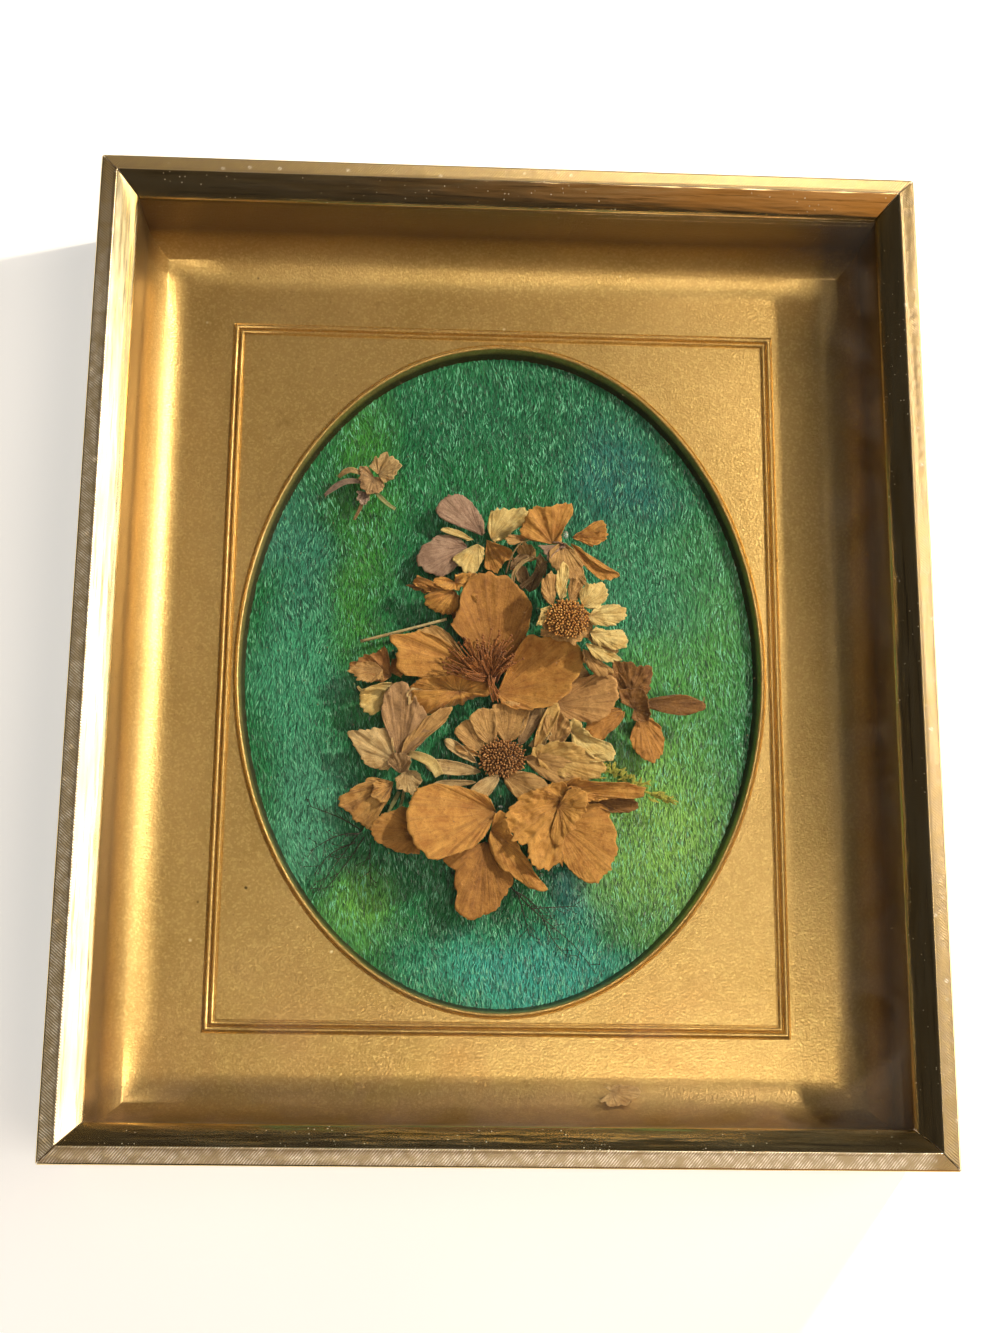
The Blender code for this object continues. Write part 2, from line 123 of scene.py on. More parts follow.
# %% Piece helpers
def grid_faces(rows, columns, start=0, closed=False):
    """Faces of a grid of points. A closed grid joins its last column to its first."""
    faces = []
    for r in range(rows - 1):
        for c in range(columns if closed else columns - 1):
            here, right = start + r * columns + c, start + r * columns + (c + 1) % columns
            faces.append((here, right, right + columns, here + columns))
    return faces


def add_piece(name, mesh, materials, stands_for=()):
    for material in materials:
        mesh.materials.append(material)
    piece = bpy.data.objects.new(name, mesh)
    bpy.context.scene.collection.objects.link(piece)
    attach(piece, "root")
    if stands_for:
        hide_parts(*stands_for)
    return piece


def make_piece(name, points, faces, materials, stands_for=(), uvs=None, kinds=None):
    """points are in mm. uvs has one (u, v) per point; kinds has one material number per face."""
    mesh = bpy.data.meshes.new(name)
    mesh.from_pydata((np.asarray(points, float) * MM).tolist(), [], faces)
    mesh.polygons.foreach_set("use_smooth", [True] * len(mesh.polygons))
    if kinds is not None:
        mesh.polygons.foreach_set("material_index", kinds)
    if uvs is not None:
        layer = mesh.uv_layers.new(name="UVMap")
        corners = np.zeros(len(mesh.loops), int)
        mesh.loops.foreach_get("vertex_index", corners)
        layer.data.foreach_set("uv", np.asarray(uvs, float)[corners].ravel())
    mesh.update()
    return add_piece(name, mesh, materials, stands_for)


def thicken(piece, thickness):
    """Gives a sheet its thickness in mm, half on each side."""
    solid = piece.modifiers.new("thickness", "SOLIDIFY")
    solid.thickness = thickness * MM
    solid.offset = 0.0


def bend_through(points, steps):
    """A smooth curve through the given points (Catmull-Rom)."""
    points = [np.array(p, float) for p in points]
    last = len(points) - 1
    curve = []
    for i in range(last):
        a, b, c, d = (points[min(max(i + k, 0), last)] for k in (-1, 0, 1, 2))
        for t in (step / steps for step in range(steps)):
            curve.append(0.5 * (2 * b + (c - a) * t + (2 * a - 5 * b + 4 * c - d) * t**2
                                + (3 * b - a - 3 * c + d) * t**3))
    return curve + [points[-1]]


print("helpers ready")

# %% [markdown]
# ## Brass-wrapped rails
# Each rail is wood wrapped in thin brass sheet. The sheet was polished, and its outer
# band was rolled between engraved rollers, which left a fine stipple that sparkles.
# Brass keeps the default IOR; its colour is the colour of its mirror. Roughness is low
# on the slope and higher on the band, where dust and handling have dulled it.
#
# The UV map holds millimetres along the rail and millimetres round its section, so the
# band's pattern follows the sheet and stays off the slope.


# %% Polished brass sheet
BAND_END = 5.2  # mm round the section, from the outer edge to where the band stops


def polished_brass(name):
    material, tree, shader = new_material(name)
    sheet = add_node(tree, "UVMap", uv_map="UVMap")
    across = add_node(tree, "SeparateXYZ", {"Vector": sheet}).outputs["Y"]
    band = add_node(tree, "MapRange", {"Value": across, "From Min": BAND_END, "From Max": BAND_END - 0.4})
    past_edge = add_node(tree, "Math", {0: across, 1: 0.2}, operation="GREATER_THAN")
    band = add_node(tree, "Math", {0: band, 1: past_edge}, operation="MULTIPLY")

    # Stipple 2.4 mm apart, crossed by a diagonal hatch. The real one is nearer 1 mm, too fine to show
    cells = add_node(tree, "TexVoronoi", {"Vector": sheet, "Scale": 0.42})
    turned = add_node(tree, "Mapping", {"Vector": sheet, "Rotation": (0, 0, math.radians(40))})
    hatch = add_node(tree, "TexWave", {"Vector": turned, "Scale": 0.45, "Distortion": 1.5})
    stipple = add_node(tree, "Math", {0: cells, 1: hatch}, operation="ADD")
    stipple = add_node(tree, "Math", {0: stipple, 1: band}, operation="MULTIPLY")

    # Long faint ripples of the sheet, scratches along it, and specks of dust
    stretched = add_node(tree, "Mapping", {"Vector": sheet, "Scale": (0.035, 0.25, 1)})
    ripple = add_node(tree, "TexNoise", {"Vector": stretched, "Scale": 1.0, "Detail": 2})
    stretched = add_node(tree, "Mapping", {"Vector": sheet, "Scale": (0.05, 3, 1), "Rotation": (0, 0, 0.06)})
    scratch = add_node(tree, "TexNoise", {"Vector": stretched, "Scale": 1.0, "Detail": 4})
    specks = add_node(tree, "TexVoronoi", {"Vector": millimetres(tree), "Scale": 0.55})
    specks = add_node(tree, "MapRange", {"Value": specks, "From Min": 0.11, "From Max": 0.05})
    patches = add_node(tree, "TexNoise", {"Vector": millimetres(tree), "Scale": 0.05, "Detail": 3})
    patches = add_node(tree, "MapRange", {"Value": patches, "From Min": 0.45, "From Max": 0.62,
                                          "To Max": 0.8})
    dust_and_painted_glints = add_node(tree, "Math", {0: specks, 1: patches}, operation="MULTIPLY")
    # Bright dots on the band are painted glints for the stipple's sparkle; they share the dust's colour and
    # roughness
    band_painted_glints = add_node(tree, "TexVoronoi", {"Vector": sheet, "Scale": 0.17})
    band_painted_glints = add_node(tree, "MapRange", {"Value": band_painted_glints, "From Min": 0.15, "From Max": 0.08, "To Max": 0.9})
    band_painted_glints = add_node(tree, "Math", {0: band_painted_glints, 1: band}, operation="MULTIPLY")
    dust_and_painted_glints = add_node(tree, "Math", {0: dust_and_painted_glints, 1: band_painted_glints}, operation="MAXIMUM")
    # The band is painted darker towards the far side and on the right: painted shade, standing in for the
    # darker reflections the band shows there
    spot = add_node(tree, "SeparateXYZ", {"Vector": millimetres(tree)})
    band_painted_shade = add_node(tree, "MapRange", {"Value": spot.outputs["Y"], "From Min": 110, "From Max": 157,
                                          "To Max": 0.95})
    right = add_node(tree, "MapRange", {"Value": spot.outputs["X"], "From Min": 124, "From Max": 128,
                                        "To Max": 0.85})
    band_painted_shade = add_node(tree, "Math", {0: band_painted_shade, 1: right}, operation="MAXIMUM")
    band_painted_shade = add_node(tree, "Math", {0: band_painted_shade, 1: band}, operation="MULTIPLY")

    # Worn streaks run along the slope only, and the stipple's pits hold old polish
    worn = add_node(tree, "Mapping", {"Vector": sheet, "Scale": (0.025, 0.7, 1)})
    worn = add_node(tree, "TexNoise", {"Vector": worn, "Scale": 1.0, "Detail": 6, "Roughness": 0.7})
    worn = add_node(tree, "MapRange", {"Value": worn, "From Min": 0.55, "From Max": 0.66, "To Max": 0.7})
    slope = add_node(tree, "Math", {0: across, 1: BAND_END}, operation="GREATER_THAN")
    worn = add_node(tree, "Math", {0: worn, 1: slope}, operation="MULTIPLY")
    pits = add_node(tree, "MapRange", {"Value": stipple, "From Min": 0.4, "From Max": 0.9, "To Max": 0.8})
    tone = add_node(tree, "ValToRGB", {"Fac": ripple}, [(0.3, "#DCC38A"), (0.7, "#EAD9AC")])
    for share, colour in ((band, "#FAF2E2"), (band_painted_shade, "#8C7450"), (dust_and_painted_glints, "#F6F0E2"), (worn, "#6E5A34"),
                          (pits, "#A8905E")):
        tone = add_node(tree, "Mix", {"Factor": share, "A": tone, "B": colour}, data_type="RGBA")

    rough = add_node(tree, "MapRange", {"Value": scratch, "To Min": 0.10, "To Max": 0.24})
    for share, level in ((band, 0.36), (dust_and_painted_glints, 0.8)):
        rough = add_node(tree, "Mix", {"Factor": share, "A": rough, "B": level})
    metal = add_node(tree, "MapRange", {"Value": dust_and_painted_glints, "To Min": 1.0, "To Max": 0.2})
    dull = add_node(tree, "MapRange", {"Value": band, "To Min": 1.0, "To Max": 0.66})
    metal = add_node(tree, "Math", {0: metal, 1: dull}, operation="MULTIPLY")
    waves = add_node(tree, "Bump", {"Height": ripple, "Strength": 0.25, "Distance": 0.0012})
    relief = add_node(tree, "Bump", {"Height": stipple, "Strength": 1.0, "Distance": 0.00011,
                                     "Normal": waves})
    set_inputs(tree, shader, {"Base Color": tone, "Roughness": rough, "Metallic": metal, "Normal": relief})
    return material


brass = polished_brass("polished_brass_sheet")
print("made", brass.name)

# %% [markdown]
# The section of the sheet runs from the fold at the back, up the outside, over the
# band, the ridge and the slope, and round under the lip. A curve with this profile
# would give one closed ring, not four rails with open mitres. Instead each rail is the
# section drawn out along its side, with each point cut back by its own distance from
# the outside. That gives an exact 45 degree mitre with a hair of a gap.

# %% Rails
CAD_GAP, MITRE_GAP = 0.35, 0.3  # mm off each end of a rail at its mitre
STATIONS = 41
BAND_START = 8  # the section's point where the band begins
rim_low, rim_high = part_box("rim_bottom")
HALF_W, HALF_H = rim_high.x / MM + CAD_GAP, -rim_low.y / MM
# (distance in from the outside, height) in mm
section = [(6, 0), (1.2, 0), (0.4, 0.15), (0.1, 0.5), (0, 1.2), (0, 30), (0, 57), (0.12, 57.6), (0.45, 57.95),
           (1, 58.05), (2.6, 58.15), (4.1, 58.2), (4.55, 58.3), (4.85, 58.46), (5.1, 58.5), (5.4, 58.4),
           (5.8, 58.05), (7.5, 56.55), (9.3, 54.9), (11, 53.1), (11.6, 52.3), (11.9, 51.8), (12, 51.3),
           (11.9, 50.9), (11.6, 50.7), (8.3, 50.7)]
section += [(8.3, 51.4), (11, 51.4), (5, 57.6), (0.7, 57.3), (0.7, 0.7), (6, 0.7)]  # the inside of the sheet


def rail_points(half_length, half_depth, turn):
    """Rows across the section, columns along the rail. Returns points and (along, round) in mm."""
    run = np.cumsum([0] + [math.dist(a, b) for a, b in zip(section, section[1:])])
    cos, sin = math.cos(turn), math.sin(turn)
    points, uvs = [], []
    for (inset, height), distance in zip(section, run):
        for i in range(STATIONS):
            along = (2 * i / (STATIONS - 1) - 1) * (half_length - inset - MITRE_GAP)
            depth = -(half_depth - inset)
            points.append((along * cos - depth * sin, along * sin + depth * cos, height))
            # Each rail has its own stretch of the pattern
            uvs.append((along + 7 * half_length * (turn + 2), distance - run[BAND_START]))
    return points, uvs


rows, last = len(section), STATIONS - 1
for side, half_length, half_depth, turn in (("bottom", HALF_W, HALF_H, 0),
                                            ("right", HALF_H, HALF_W, math.pi / 2),
                                            ("top", HALF_W, HALF_H, math.pi),
                                            ("left", HALF_H, HALF_W, -math.pi / 2)):
    points, uvs = rail_points(half_length, half_depth, turn)
    final = (rows - 1) * STATIONS
    faces = grid_faces(rows, STATIONS) + [(final + c, final + c + 1, c + 1, c) for c in range(last)]
    faces += [[r * STATIONS for r in reversed(range(rows))], [r * STATIONS + last for r in range(rows)]]
    rail = make_piece(f"brass_rail_{side}", points, faces, [brass], ["rim_" + side], uvs)
    for polygon in rail.data.polygons[-2:]:
        polygon.use_smooth = False
    shape = bmesh.new()
    shape.from_mesh(rail.data)
    bmesh.ops.recalc_face_normals(shape, faces=shape.faces)
    for edge in shape.edges:
        edge.smooth = edge.calc_face_angle(0) < math.radians(40)
    shape.to_mesh(rail.data)
    shape.free()
print("rails", round(2 * HALF_W, 1), "by", round(2 * HALF_H, 1), "mm")

# %% [markdown]
# ## Gold liner
# The liner is a thin tray pressed over a former and sprayed with gold lacquer: a clear
# binder full of fine brass flakes. It looks like a metal seen through mist, so it is
# mostly metallic with a wide, soft highlight, and a grain of flakes that catch the light
# one by one. Real flakes are finer than 0.1 mm; they are drawn 0.6 mm across so that they
# show. Where a hand has rubbed the lacquer it is paler.


# %% Gold lacquer
def gold_lacquer(name, metallic=0.84, roughness=(0.28, 0.36)):
    material, tree, shader = new_material(name)
    place = millimetres(tree)
    flakes = add_node(tree, "TexVoronoi", {"Vector": place, "Scale": 1.6})
    flake_tone = add_node(tree, "SeparateColor", {"Color": flakes.outputs["Color"]}).outputs["Red"]
    cloudy = add_node(tree, "TexNoise", {"Vector": place, "Scale": 0.018, "Detail": 5, "Roughness": 0.65})
    grain = add_node(tree, "TexNoise", {"Vector": place, "Scale": 1.3, "Detail": 3})
    stains = add_node(tree, "TexNoise", {"Vector": place, "Scale": 0.16, "Detail": 6, "Roughness": 0.7})
    stains = add_node(tree, "MapRange", {"Value": stains, "From Min": 0.6, "From Max": 0.74, "To Max": 0.5})

    sparkle = add_node(tree, "MapRange", {"Value": flake_tone, "From Min": 0.5, "To Max": 0.55})
    # The right and near coves are painted darker: painted shade, for the dark reflections these coves show.
    # There are also a few stray specks
    spot = add_node(tree, "SeparateXYZ", {"Vector": place})
    right = add_node(tree, "MapRange", {"Value": spot.outputs["X"], "From Min": 107.5, "From Max": 113,
                                        "To Max": 0.6})
    near = add_node(tree, "MapRange", {"Value": spot.outputs["Y"], "From Min": -133, "From Max": -139,
                                       "To Max": 0.5})
    cove_painted_shade = add_node(tree, "Math", {0: right, 1: near}, operation="MAXIMUM")
    layers = [(sparkle, "#E0C07C"), (stains, "#94743C"), (cove_painted_shade, "#62513A")]
    for offset, colour in ((0, "#33240F"), (17, "#F4E3B4")):
        speck = add_node(tree, "Mapping", {"Vector": place, "Location": (offset, offset, 0)})
        speck = add_node(tree, "TexVoronoi", {"Vector": speck, "Scale": 0.045})
        speck = add_node(tree, "MapRange", {"Value": speck, "From Min": 0.03, "From Max": 0.015,
                                            "To Max": 0.8})
        layers.append((speck, colour))
    # The steep walls and the turned-down lip are painted darker with height: painted shade, where the walls
    # reflect a dark room and the lip faces into shadow
    height = add_node(tree, "SeparateXYZ", {"Vector": place}).outputs["Z"]
    for start, full, colour in ((17, 30, "#6A5636"), (13.8, 12.2, "#3A2E16")):
        share = add_node(tree, "MapRange", {"Value": height, "From Min": start, "From Max": full,
                                            "To Max": 0.9})
        layers.append((share, colour))
    tone = add_node(tree, "ValToRGB", {"Fac": cloudy}, [(0.35, "#B79656"), (0.65, "#C7A566")])
    for share, colour in layers:
        tone = add_node(tree, "Mix", {"Factor": share, "A": tone, "B": colour}, data_type="RGBA")

    rough = add_node(tree, "MapRange", {"Value": grain, "To Min": roughness[0], "To Max": roughness[1]})
    cove = add_node(tree, "MapRange", {"Value": height, "From Min": 14.6, "From Max": 17, "To Max": 0.07})
    rough = add_node(tree, "Math", {0: rough, 1: cove}, operation="ADD")
    relief = add_node(tree, "Math", {0: flake_tone, 1: grain}, operation="ADD")
    relief = add_node(tree, "Bump", {"Height": relief, "Strength": 0.6, "Distance": 0.0002})
    shader.inputs["Metallic"].default_value = metallic
    shader.inputs["Coat Weight"].default_value = 0.08
    shader.inputs["Coat Roughness"].default_value = 0.3
    set_inputs(tree, shader, {"Base Color": tone, "Roughness": rough, "Normal": relief})
    return material


gold = gold_lacquer("sprayed_gold_lacquer")
bright_gold = gold_lacquer("burnished_gold_bead", metallic=0.85, roughness=(0.24, 0.36))
print("made", gold.name, "and", bright_gold.name)

# %% [markdown]
# A boolean cut would give the tray its window but not its rolled beads. So it is drawn
# as rings, one inside the other: rectangles for the flange, wall, cove and reeds, then
# ovals for the bead and the lip that turns down to the velvet.
# Rings of the same kind are joined with bands of faces; the flat panel between the last
# rectangle and the first oval is filled. The back follows at the sheet's thickness.

# %% Liner
tray_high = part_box("liner")[1]
WALL_X, WALL_Y, FLANGE_Z, PANEL_Z = 123.3, 148.8, tray_high.z / MM, 14.5
COVE, SHEET = 15.0, 1.2  # the cove's radius and the sheet's thickness
REED_X, REED_Y, OVAL_X, OVAL_Y = 94.0, 121.0, 88.3, 115.0


def half_round(start, width, height, steps=7):
    """A small bead as (distance in, height) pairs."""
    return [(start + width * (1 - math.cos(math.pi * k / steps)) / 2, height * math.sin(math.pi * k / steps))
            for k in range(steps + 1)]


def build_liner():
    shape = bmesh.new()

    def rectangle(half_x, half_y, z, sides=12):
        x, y = half_x * MM, half_y * MM
        corners = [(-x, -y), (x, -y), (x, y), (-x, y)]
        ring = []
        for (ax, ay), (bx, by) in zip(corners, corners[1:] + corners[:1]):
            ring += [shape.verts.new((ax + (bx - ax) * k / sides, ay + (by - ay) * k / sides, z * MM))
                     for k in range(sides)]
        return ring

    def oval(inset, z, count=160):
        angles = [2 * math.pi * k / count for k in range(count)]
        return [shape.verts.new(((OVAL_X - inset) * MM * math.cos(a), (OVAL_Y - inset) * MM * math.sin(a),
                                 z * MM)) for a in angles]

    def skin(rings, kind=0):
        for first, second in zip(rings, rings[1:]):
            for k in range(len(first)):
                n = (k + 1) % len(first)
                shape.faces.new((first[k], first[n], second[n], second[k])).material_index = kind

    def fill(outer, inner):
        edges = [shape.edges.get((ring[k], ring[(k + 1) % len(ring)])) for ring in (outer, inner)
                 for k in range(len(ring))]
        bmesh.ops.triangle_fill(shape, edges=edges, use_beauty=True)

    reach = tray_high.x / MM - WALL_X
    quarter = [math.pi / 2 * k / 20 for k in range(21)]

    def cove_ring(radius, angle):
        inset = 0.5 + COVE - radius * math.cos(angle)
        return rectangle(WALL_X - inset, WALL_Y - inset, PANEL_Z + COVE - radius * math.sin(angle))

    front = [rectangle(WALL_X + out, WALL_Y + out, FLANGE_Z - down)
             for out, down in ((reach, 0), (0.5, 0), (0.15, 0.1), (0, 0.5))]
    front += [cove_ring(COVE, a) for a in quarter]
    groove = [(0, 0), (0.1, -0.25), (0.35, -0.42), (0.55, -0.25)]
    reeds = groove + half_round(0.6, 1.5, 1.0)
    reeds += [(2.2, -0.25), (2.4, -0.4), (2.6, -0.25)] + half_round(2.65, 1.15, 0.85)
    reeds += [(3.95, -0.22), (4.15, -0.22), (4.5, 0)]
    skin(front)
    reed_rings = [rectangle(REED_X - d, REED_Y - d, PANEL_Z + h) for d, h in reeds]
    skin([front[-1], reed_rings[0]])
    skin(reed_rings, 1)

    lip = [(-0.7, 0), (-0.55, -0.25), (-0.3, -0.45), (-0.05, -0.25)] + half_round(0, 1.35, 0.85)
    lip += [(1.45, -0.5), (1.7, -1.2), (2.3, -2.9), (2.75, -4.2), (2.95, -4.75), (2.8, -4.8), (1.9, -4.75)]
    lip += [(0.6, -1.6), (-0.8, -1.2)]
    window = [oval(d, PANEL_Z + h) for d, h in lip]
    skin(window, 1)

    back = [cove_ring(COVE + SHEET, a) for a in reversed(quarter[::4])]
    back += [rectangle(WALL_X + out, WALL_Y + out, FLANGE_Z - SHEET) for out in (SHEET, reach)]
    skin(back + [front[0]])
    fill(reed_rings[-1], window[0])
    fill(back[0], window[-1])
    bmesh.ops.recalc_face_normals(shape, faces=shape.faces)
    # The flat panel keeps a crisp border, so its shading doesn't bleed into the beads
    flat = {face for face in shape.faces if abs(abs(face.normal.z) - 1) < 1e-4}
    for face in shape.faces:
        face.smooth = True
    for edge in shape.edges:
        on_border = sum(face in flat for face in edge.link_faces) == 1
        edge.smooth = edge.calc_face_angle(0) < math.radians(50) and not on_border
    mesh = bpy.data.meshes.new("gold_liner")
    shape.to_mesh(mesh)
    shape.free()
    return add_piece("gold_liner", mesh, [gold, bright_gold], ["liner"])


liner = build_liner()
print("liner faces:", len(liner.data.polygons))

# %% [markdown]
# ## Green velvet
# The backing is a hand-dyed velvet with a bright, silky pile of short rayon fibres.
# The dye has run from blue-green to yellow-green in soft patches; the light patches towards the bottom and
# the right are partly painted light, brighter where the room's bright side falls. Real fibres give the look
# that no flat pattern does, so the cloth is a thin sheet with a dark ground, and its pile is one mesh of many
# thin blades that lean this way and that. A real fibre is some 0.03 mm wide, so the blades are about ten
# times as wide, to show at all.
#
# Hair particles would be the usual way, but they aren't a mesh, and the pile has to be
# one to be kept with the model. The blades are silky, so their roughness is low, and
# dark at the root, where little light gets in.
#
# Both use the same dye, set by where a point lies on the cloth. All the blades are shiny, and each fibre also
# has its own number from 0 to 1 in its UV map, which makes some of them dark and some pale. The pale colour,
# strongest in clumps, is painted sheen for the glints of silky fibres.


# %% Dyed velvet
def dye_and_painted_light(tree):
    """The dye's colour over the cloth: broad patches, placed as they lie on this one. The lighter patches
    towards the bottom and right are partly painted light.
    """
    place = millimetres(tree)
    drift = add_node(tree, "TexNoise", {"Vector": place, "Scale": 0.035, "Detail": 2})
    drift = add_node(tree, "VectorMath", {0: drift.outputs["Color"], 1: (0.5, 0.5, 0.5)},
                     operation="SUBTRACT")
    drift = add_node(tree, "VectorMath", {0: drift, "Scale": 34}, operation="SCALE")
    place = add_node(tree, "VectorMath", {0: place, 1: drift}, operation="ADD")
    colour = "#12904A"
    # Dye patches; the light ones towards the bottom and right are partly painted light, where the room's
    # bright side falls
    # (middle), (half width, half height) in mm, colour
    patches = [((5, 95), (60, 22), "#0E8452"), ((-57, 38), (8, 32), "#126E2C"),
               ((40, 70), (22, 26), "#14827C"), ((-46, 72), (14, 26), "#4CB234"),
               ((-47, 18), (9, 34), "#4FB236"), ((-66, 0), (15, 44), "#52C898"),
               ((-66, -50), (14, 26), "#68D2A8"), ((-46, -82), (12, 16), "#8CE65C"),
               ((0, -98), (30, 13), "#4FE0BC"), ((30, -76), (10, 12), "#48BEBE"),
               ((56, -52), (26, 36), "#B0F468"), ((64, 2), (22, 38), "#66C654"),
               ((45, 30), (26, 22), "#3AA878"), ((-70, 44), (12, 22), "#43A488"),
               ((14, -100), (26, 12), "#42D2C2")]
    for (x, y), (wide, tall), tone in patches:
        away = add_node(tree, "VectorMath", {0: place, 1: (x, y, 0)}, operation="SUBTRACT")
        away = add_node(tree, "VectorMath", {0: away, 1: (1 / wide, 1 / tall, 0)}, operation="MULTIPLY")
        away = add_node(tree, "VectorMath", {0: away}, operation="LENGTH").outputs["Value"]
        share = add_node(tree, "MapRange", {"Value": away, "From Min": 1.5, "From Max": 0.2, "To Max": 0.9},
                         interpolation_type="SMOOTHSTEP")
        colour = add_node(tree, "Mix", {"Factor": share, "A": colour, "B": tone}, data_type="RGBA")
    return colour


def velvet_ground(name):
    material, tree, shader = new_material(name)
    strands = add_node(tree, "TexNoise", {"Vector": millimetres(tree, (2.2, 0.6, 1)), "Scale": 1.0,
                                          "Detail": 3})
    dark = add_node(tree, "Mix", {"Factor": strands, "A": "#06261A", "B": dye_and_painted_light(tree)}, data_type="RGBA")
    relief = add_node(tree, "Bump", {"Height": strands, "Strength": 0.8, "Distance": 0.0006})
    shader.inputs["Roughness"].default_value = 0.8
    shader.inputs["Sheen Weight"].default_value = 0.25
    set_inputs(tree, shader, {"Base Color": dark, "Normal": relief})
    return material


def velvet_fibre(name):
    material, tree, shader = new_material(name)
    uv = add_node(tree, "SeparateXYZ", {"Vector": add_node(tree, "UVMap", uv_map="UVMap")})
    own, along = uv.outputs["X"], uv.outputs["Y"]
    dark = add_node(tree, "MapRange", {"Value": own, "From Min": 0.5, "From Max": 0.0, "To Max": 0.95})
    # Pale fibres, strongest in clumps, are painted sheen: the glints of silky fibres
    painted_sheen = add_node(tree, "MapRange", {"Value": own, "From Min": 0.62, "From Max": 1.0, "To Max": 0.75})
    clumps = add_node(tree, "TexNoise", {"Vector": millimetres(tree, (1, 0.6, 1)), "Scale": 0.22,
                                         "Detail": 3})
    clumps = add_node(tree, "MapRange", {"Value": clumps, "From Min": 0.38, "From Max": 0.62, "To Min": 0.15,
                                         "To Max": 1.6})
    painted_sheen = add_node(tree, "Math", {0: painted_sheen, 1: clumps}, operation="MULTIPLY", use_clamp=True)
    root = add_node(tree, "MapRange", {"Value": along, "To Min": 0.6, "To Max": 0.0})
    tone = dye_and_painted_light(tree)
    for share, colour in ((dark, "#0A3524"), (painted_sheen, "#8CF0BE"), (root, "#0B3A26")):
        tone = add_node(tree, "Mix", {"Factor": share, "A": tone, "B": colour}, data_type="RGBA")
    shader.inputs["Roughness"].default_value = 0.35
    shader.inputs["Specular IOR Level"].default_value = 0.6
    set_inputs(tree, shader, {"Base Color": tone})
    return material


ground, fibre = velvet_ground("dyed_velvet_ground"), velvet_fibre("rayon_pile_fibre")
cloth_low, cloth_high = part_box("velvet_cloth")
CLOTH_TOP = cloth_high.z / MM
print("velvet top at", round(CLOTH_TOP, 2), "mm")

# %% Cloth and its pile
cloth_w, cloth_h = (cloth_high.x - cloth_low.x) / MM, (cloth_high.y - cloth_low.y) / MM
columns, rows = 63, 76
sheet_points = [(cloth_w * (c / (columns - 1) - 0.5), cloth_h * (r / (rows - 1) - 0.5),
                 CLOTH_TOP - 0.6 + 0.12 * noise.noise((c * 0.13, r * 0.13, 3)))
                for r in range(rows) for c in range(columns)]
cloth = make_piece("velvet_backing", sheet_points, grid_faces(rows, columns), [ground],
                   ["velvet_cloth"])
thicken(cloth, 0.8)

random.seed(11)
FIBRES, POINTS_EACH = 66000, 5
PILE_X, PILE_Y = 88, 115  # the pile stops just past the edge of the window
z = CLOTH_TOP - 0.15
fibre_points, fibre_faces, fibre_uvs = [], [], []
while len(fibre_points) < POINTS_EACH * FIBRES:
    x, y = random.uniform(-PILE_X, PILE_X), random.uniform(-PILE_Y, PILE_Y)
    if (x / PILE_X) ** 2 + (y / PILE_Y) ** 2 > 1:
        continue
    lean = math.radians(92 + 22 * noise.noise((x / 14, y / 14, 0)) + random.gauss(0, 13))
    if random.random() < 0.5:
        lean += math.pi
    length, width, rise = random.uniform(1.4, 3.4), random.uniform(0.16, 0.36), random.uniform(0.1, 0.9)
    dx, dy = math.cos(lean) * length, math.sin(lean) * length
    wx, wy = -math.sin(lean) * width / 2, math.cos(lean) * width / 2
    start = len(fibre_points)
    for share, lift in ((0, 0), (0.55, rise)):
        fibre_points += [(x + dx * share - wx, y + dy * share - wy, z + lift),
                         (x + dx * share + wx, y + dy * share + wy, z + lift)]
    fibre_points.append((x + dx, y + dy, z + rise * 0.7))
    fibre_faces += [(start, start + 1, start + 3, start + 2), (start + 2, start + 3, start + 4)]
    own = random.random()
    fibre_uvs += [(own, along) for along in (0, 0, 0.7, 0.7, 1)]
pile = make_piece("velvet_pile", fibre_points, fibre_faces, [fibre], (), fibre_uvs)
print("fibres:", FIBRES, "triangles:", 3 * FIBRES)


# %% [markdown]
# ## Dried petals
# A pressed petal keeps its veins, which run out from its base like a fan, while the
# thin tissue between them shrinks, browns and crumples. It could be sculpted, but about
# a hundred of them have to differ, so a petal is a grid made by a function: rows go from
# the base to the rim, and columns fan out from side to side. Its UV map is that grid, and
# the finish draws its veins along it.
#
# The finish is matt and slightly velvety: broken plant tissue has no gloss layer. Its
# colour drifts in patches, is darkest at the base, and is crossed by vein streaks.


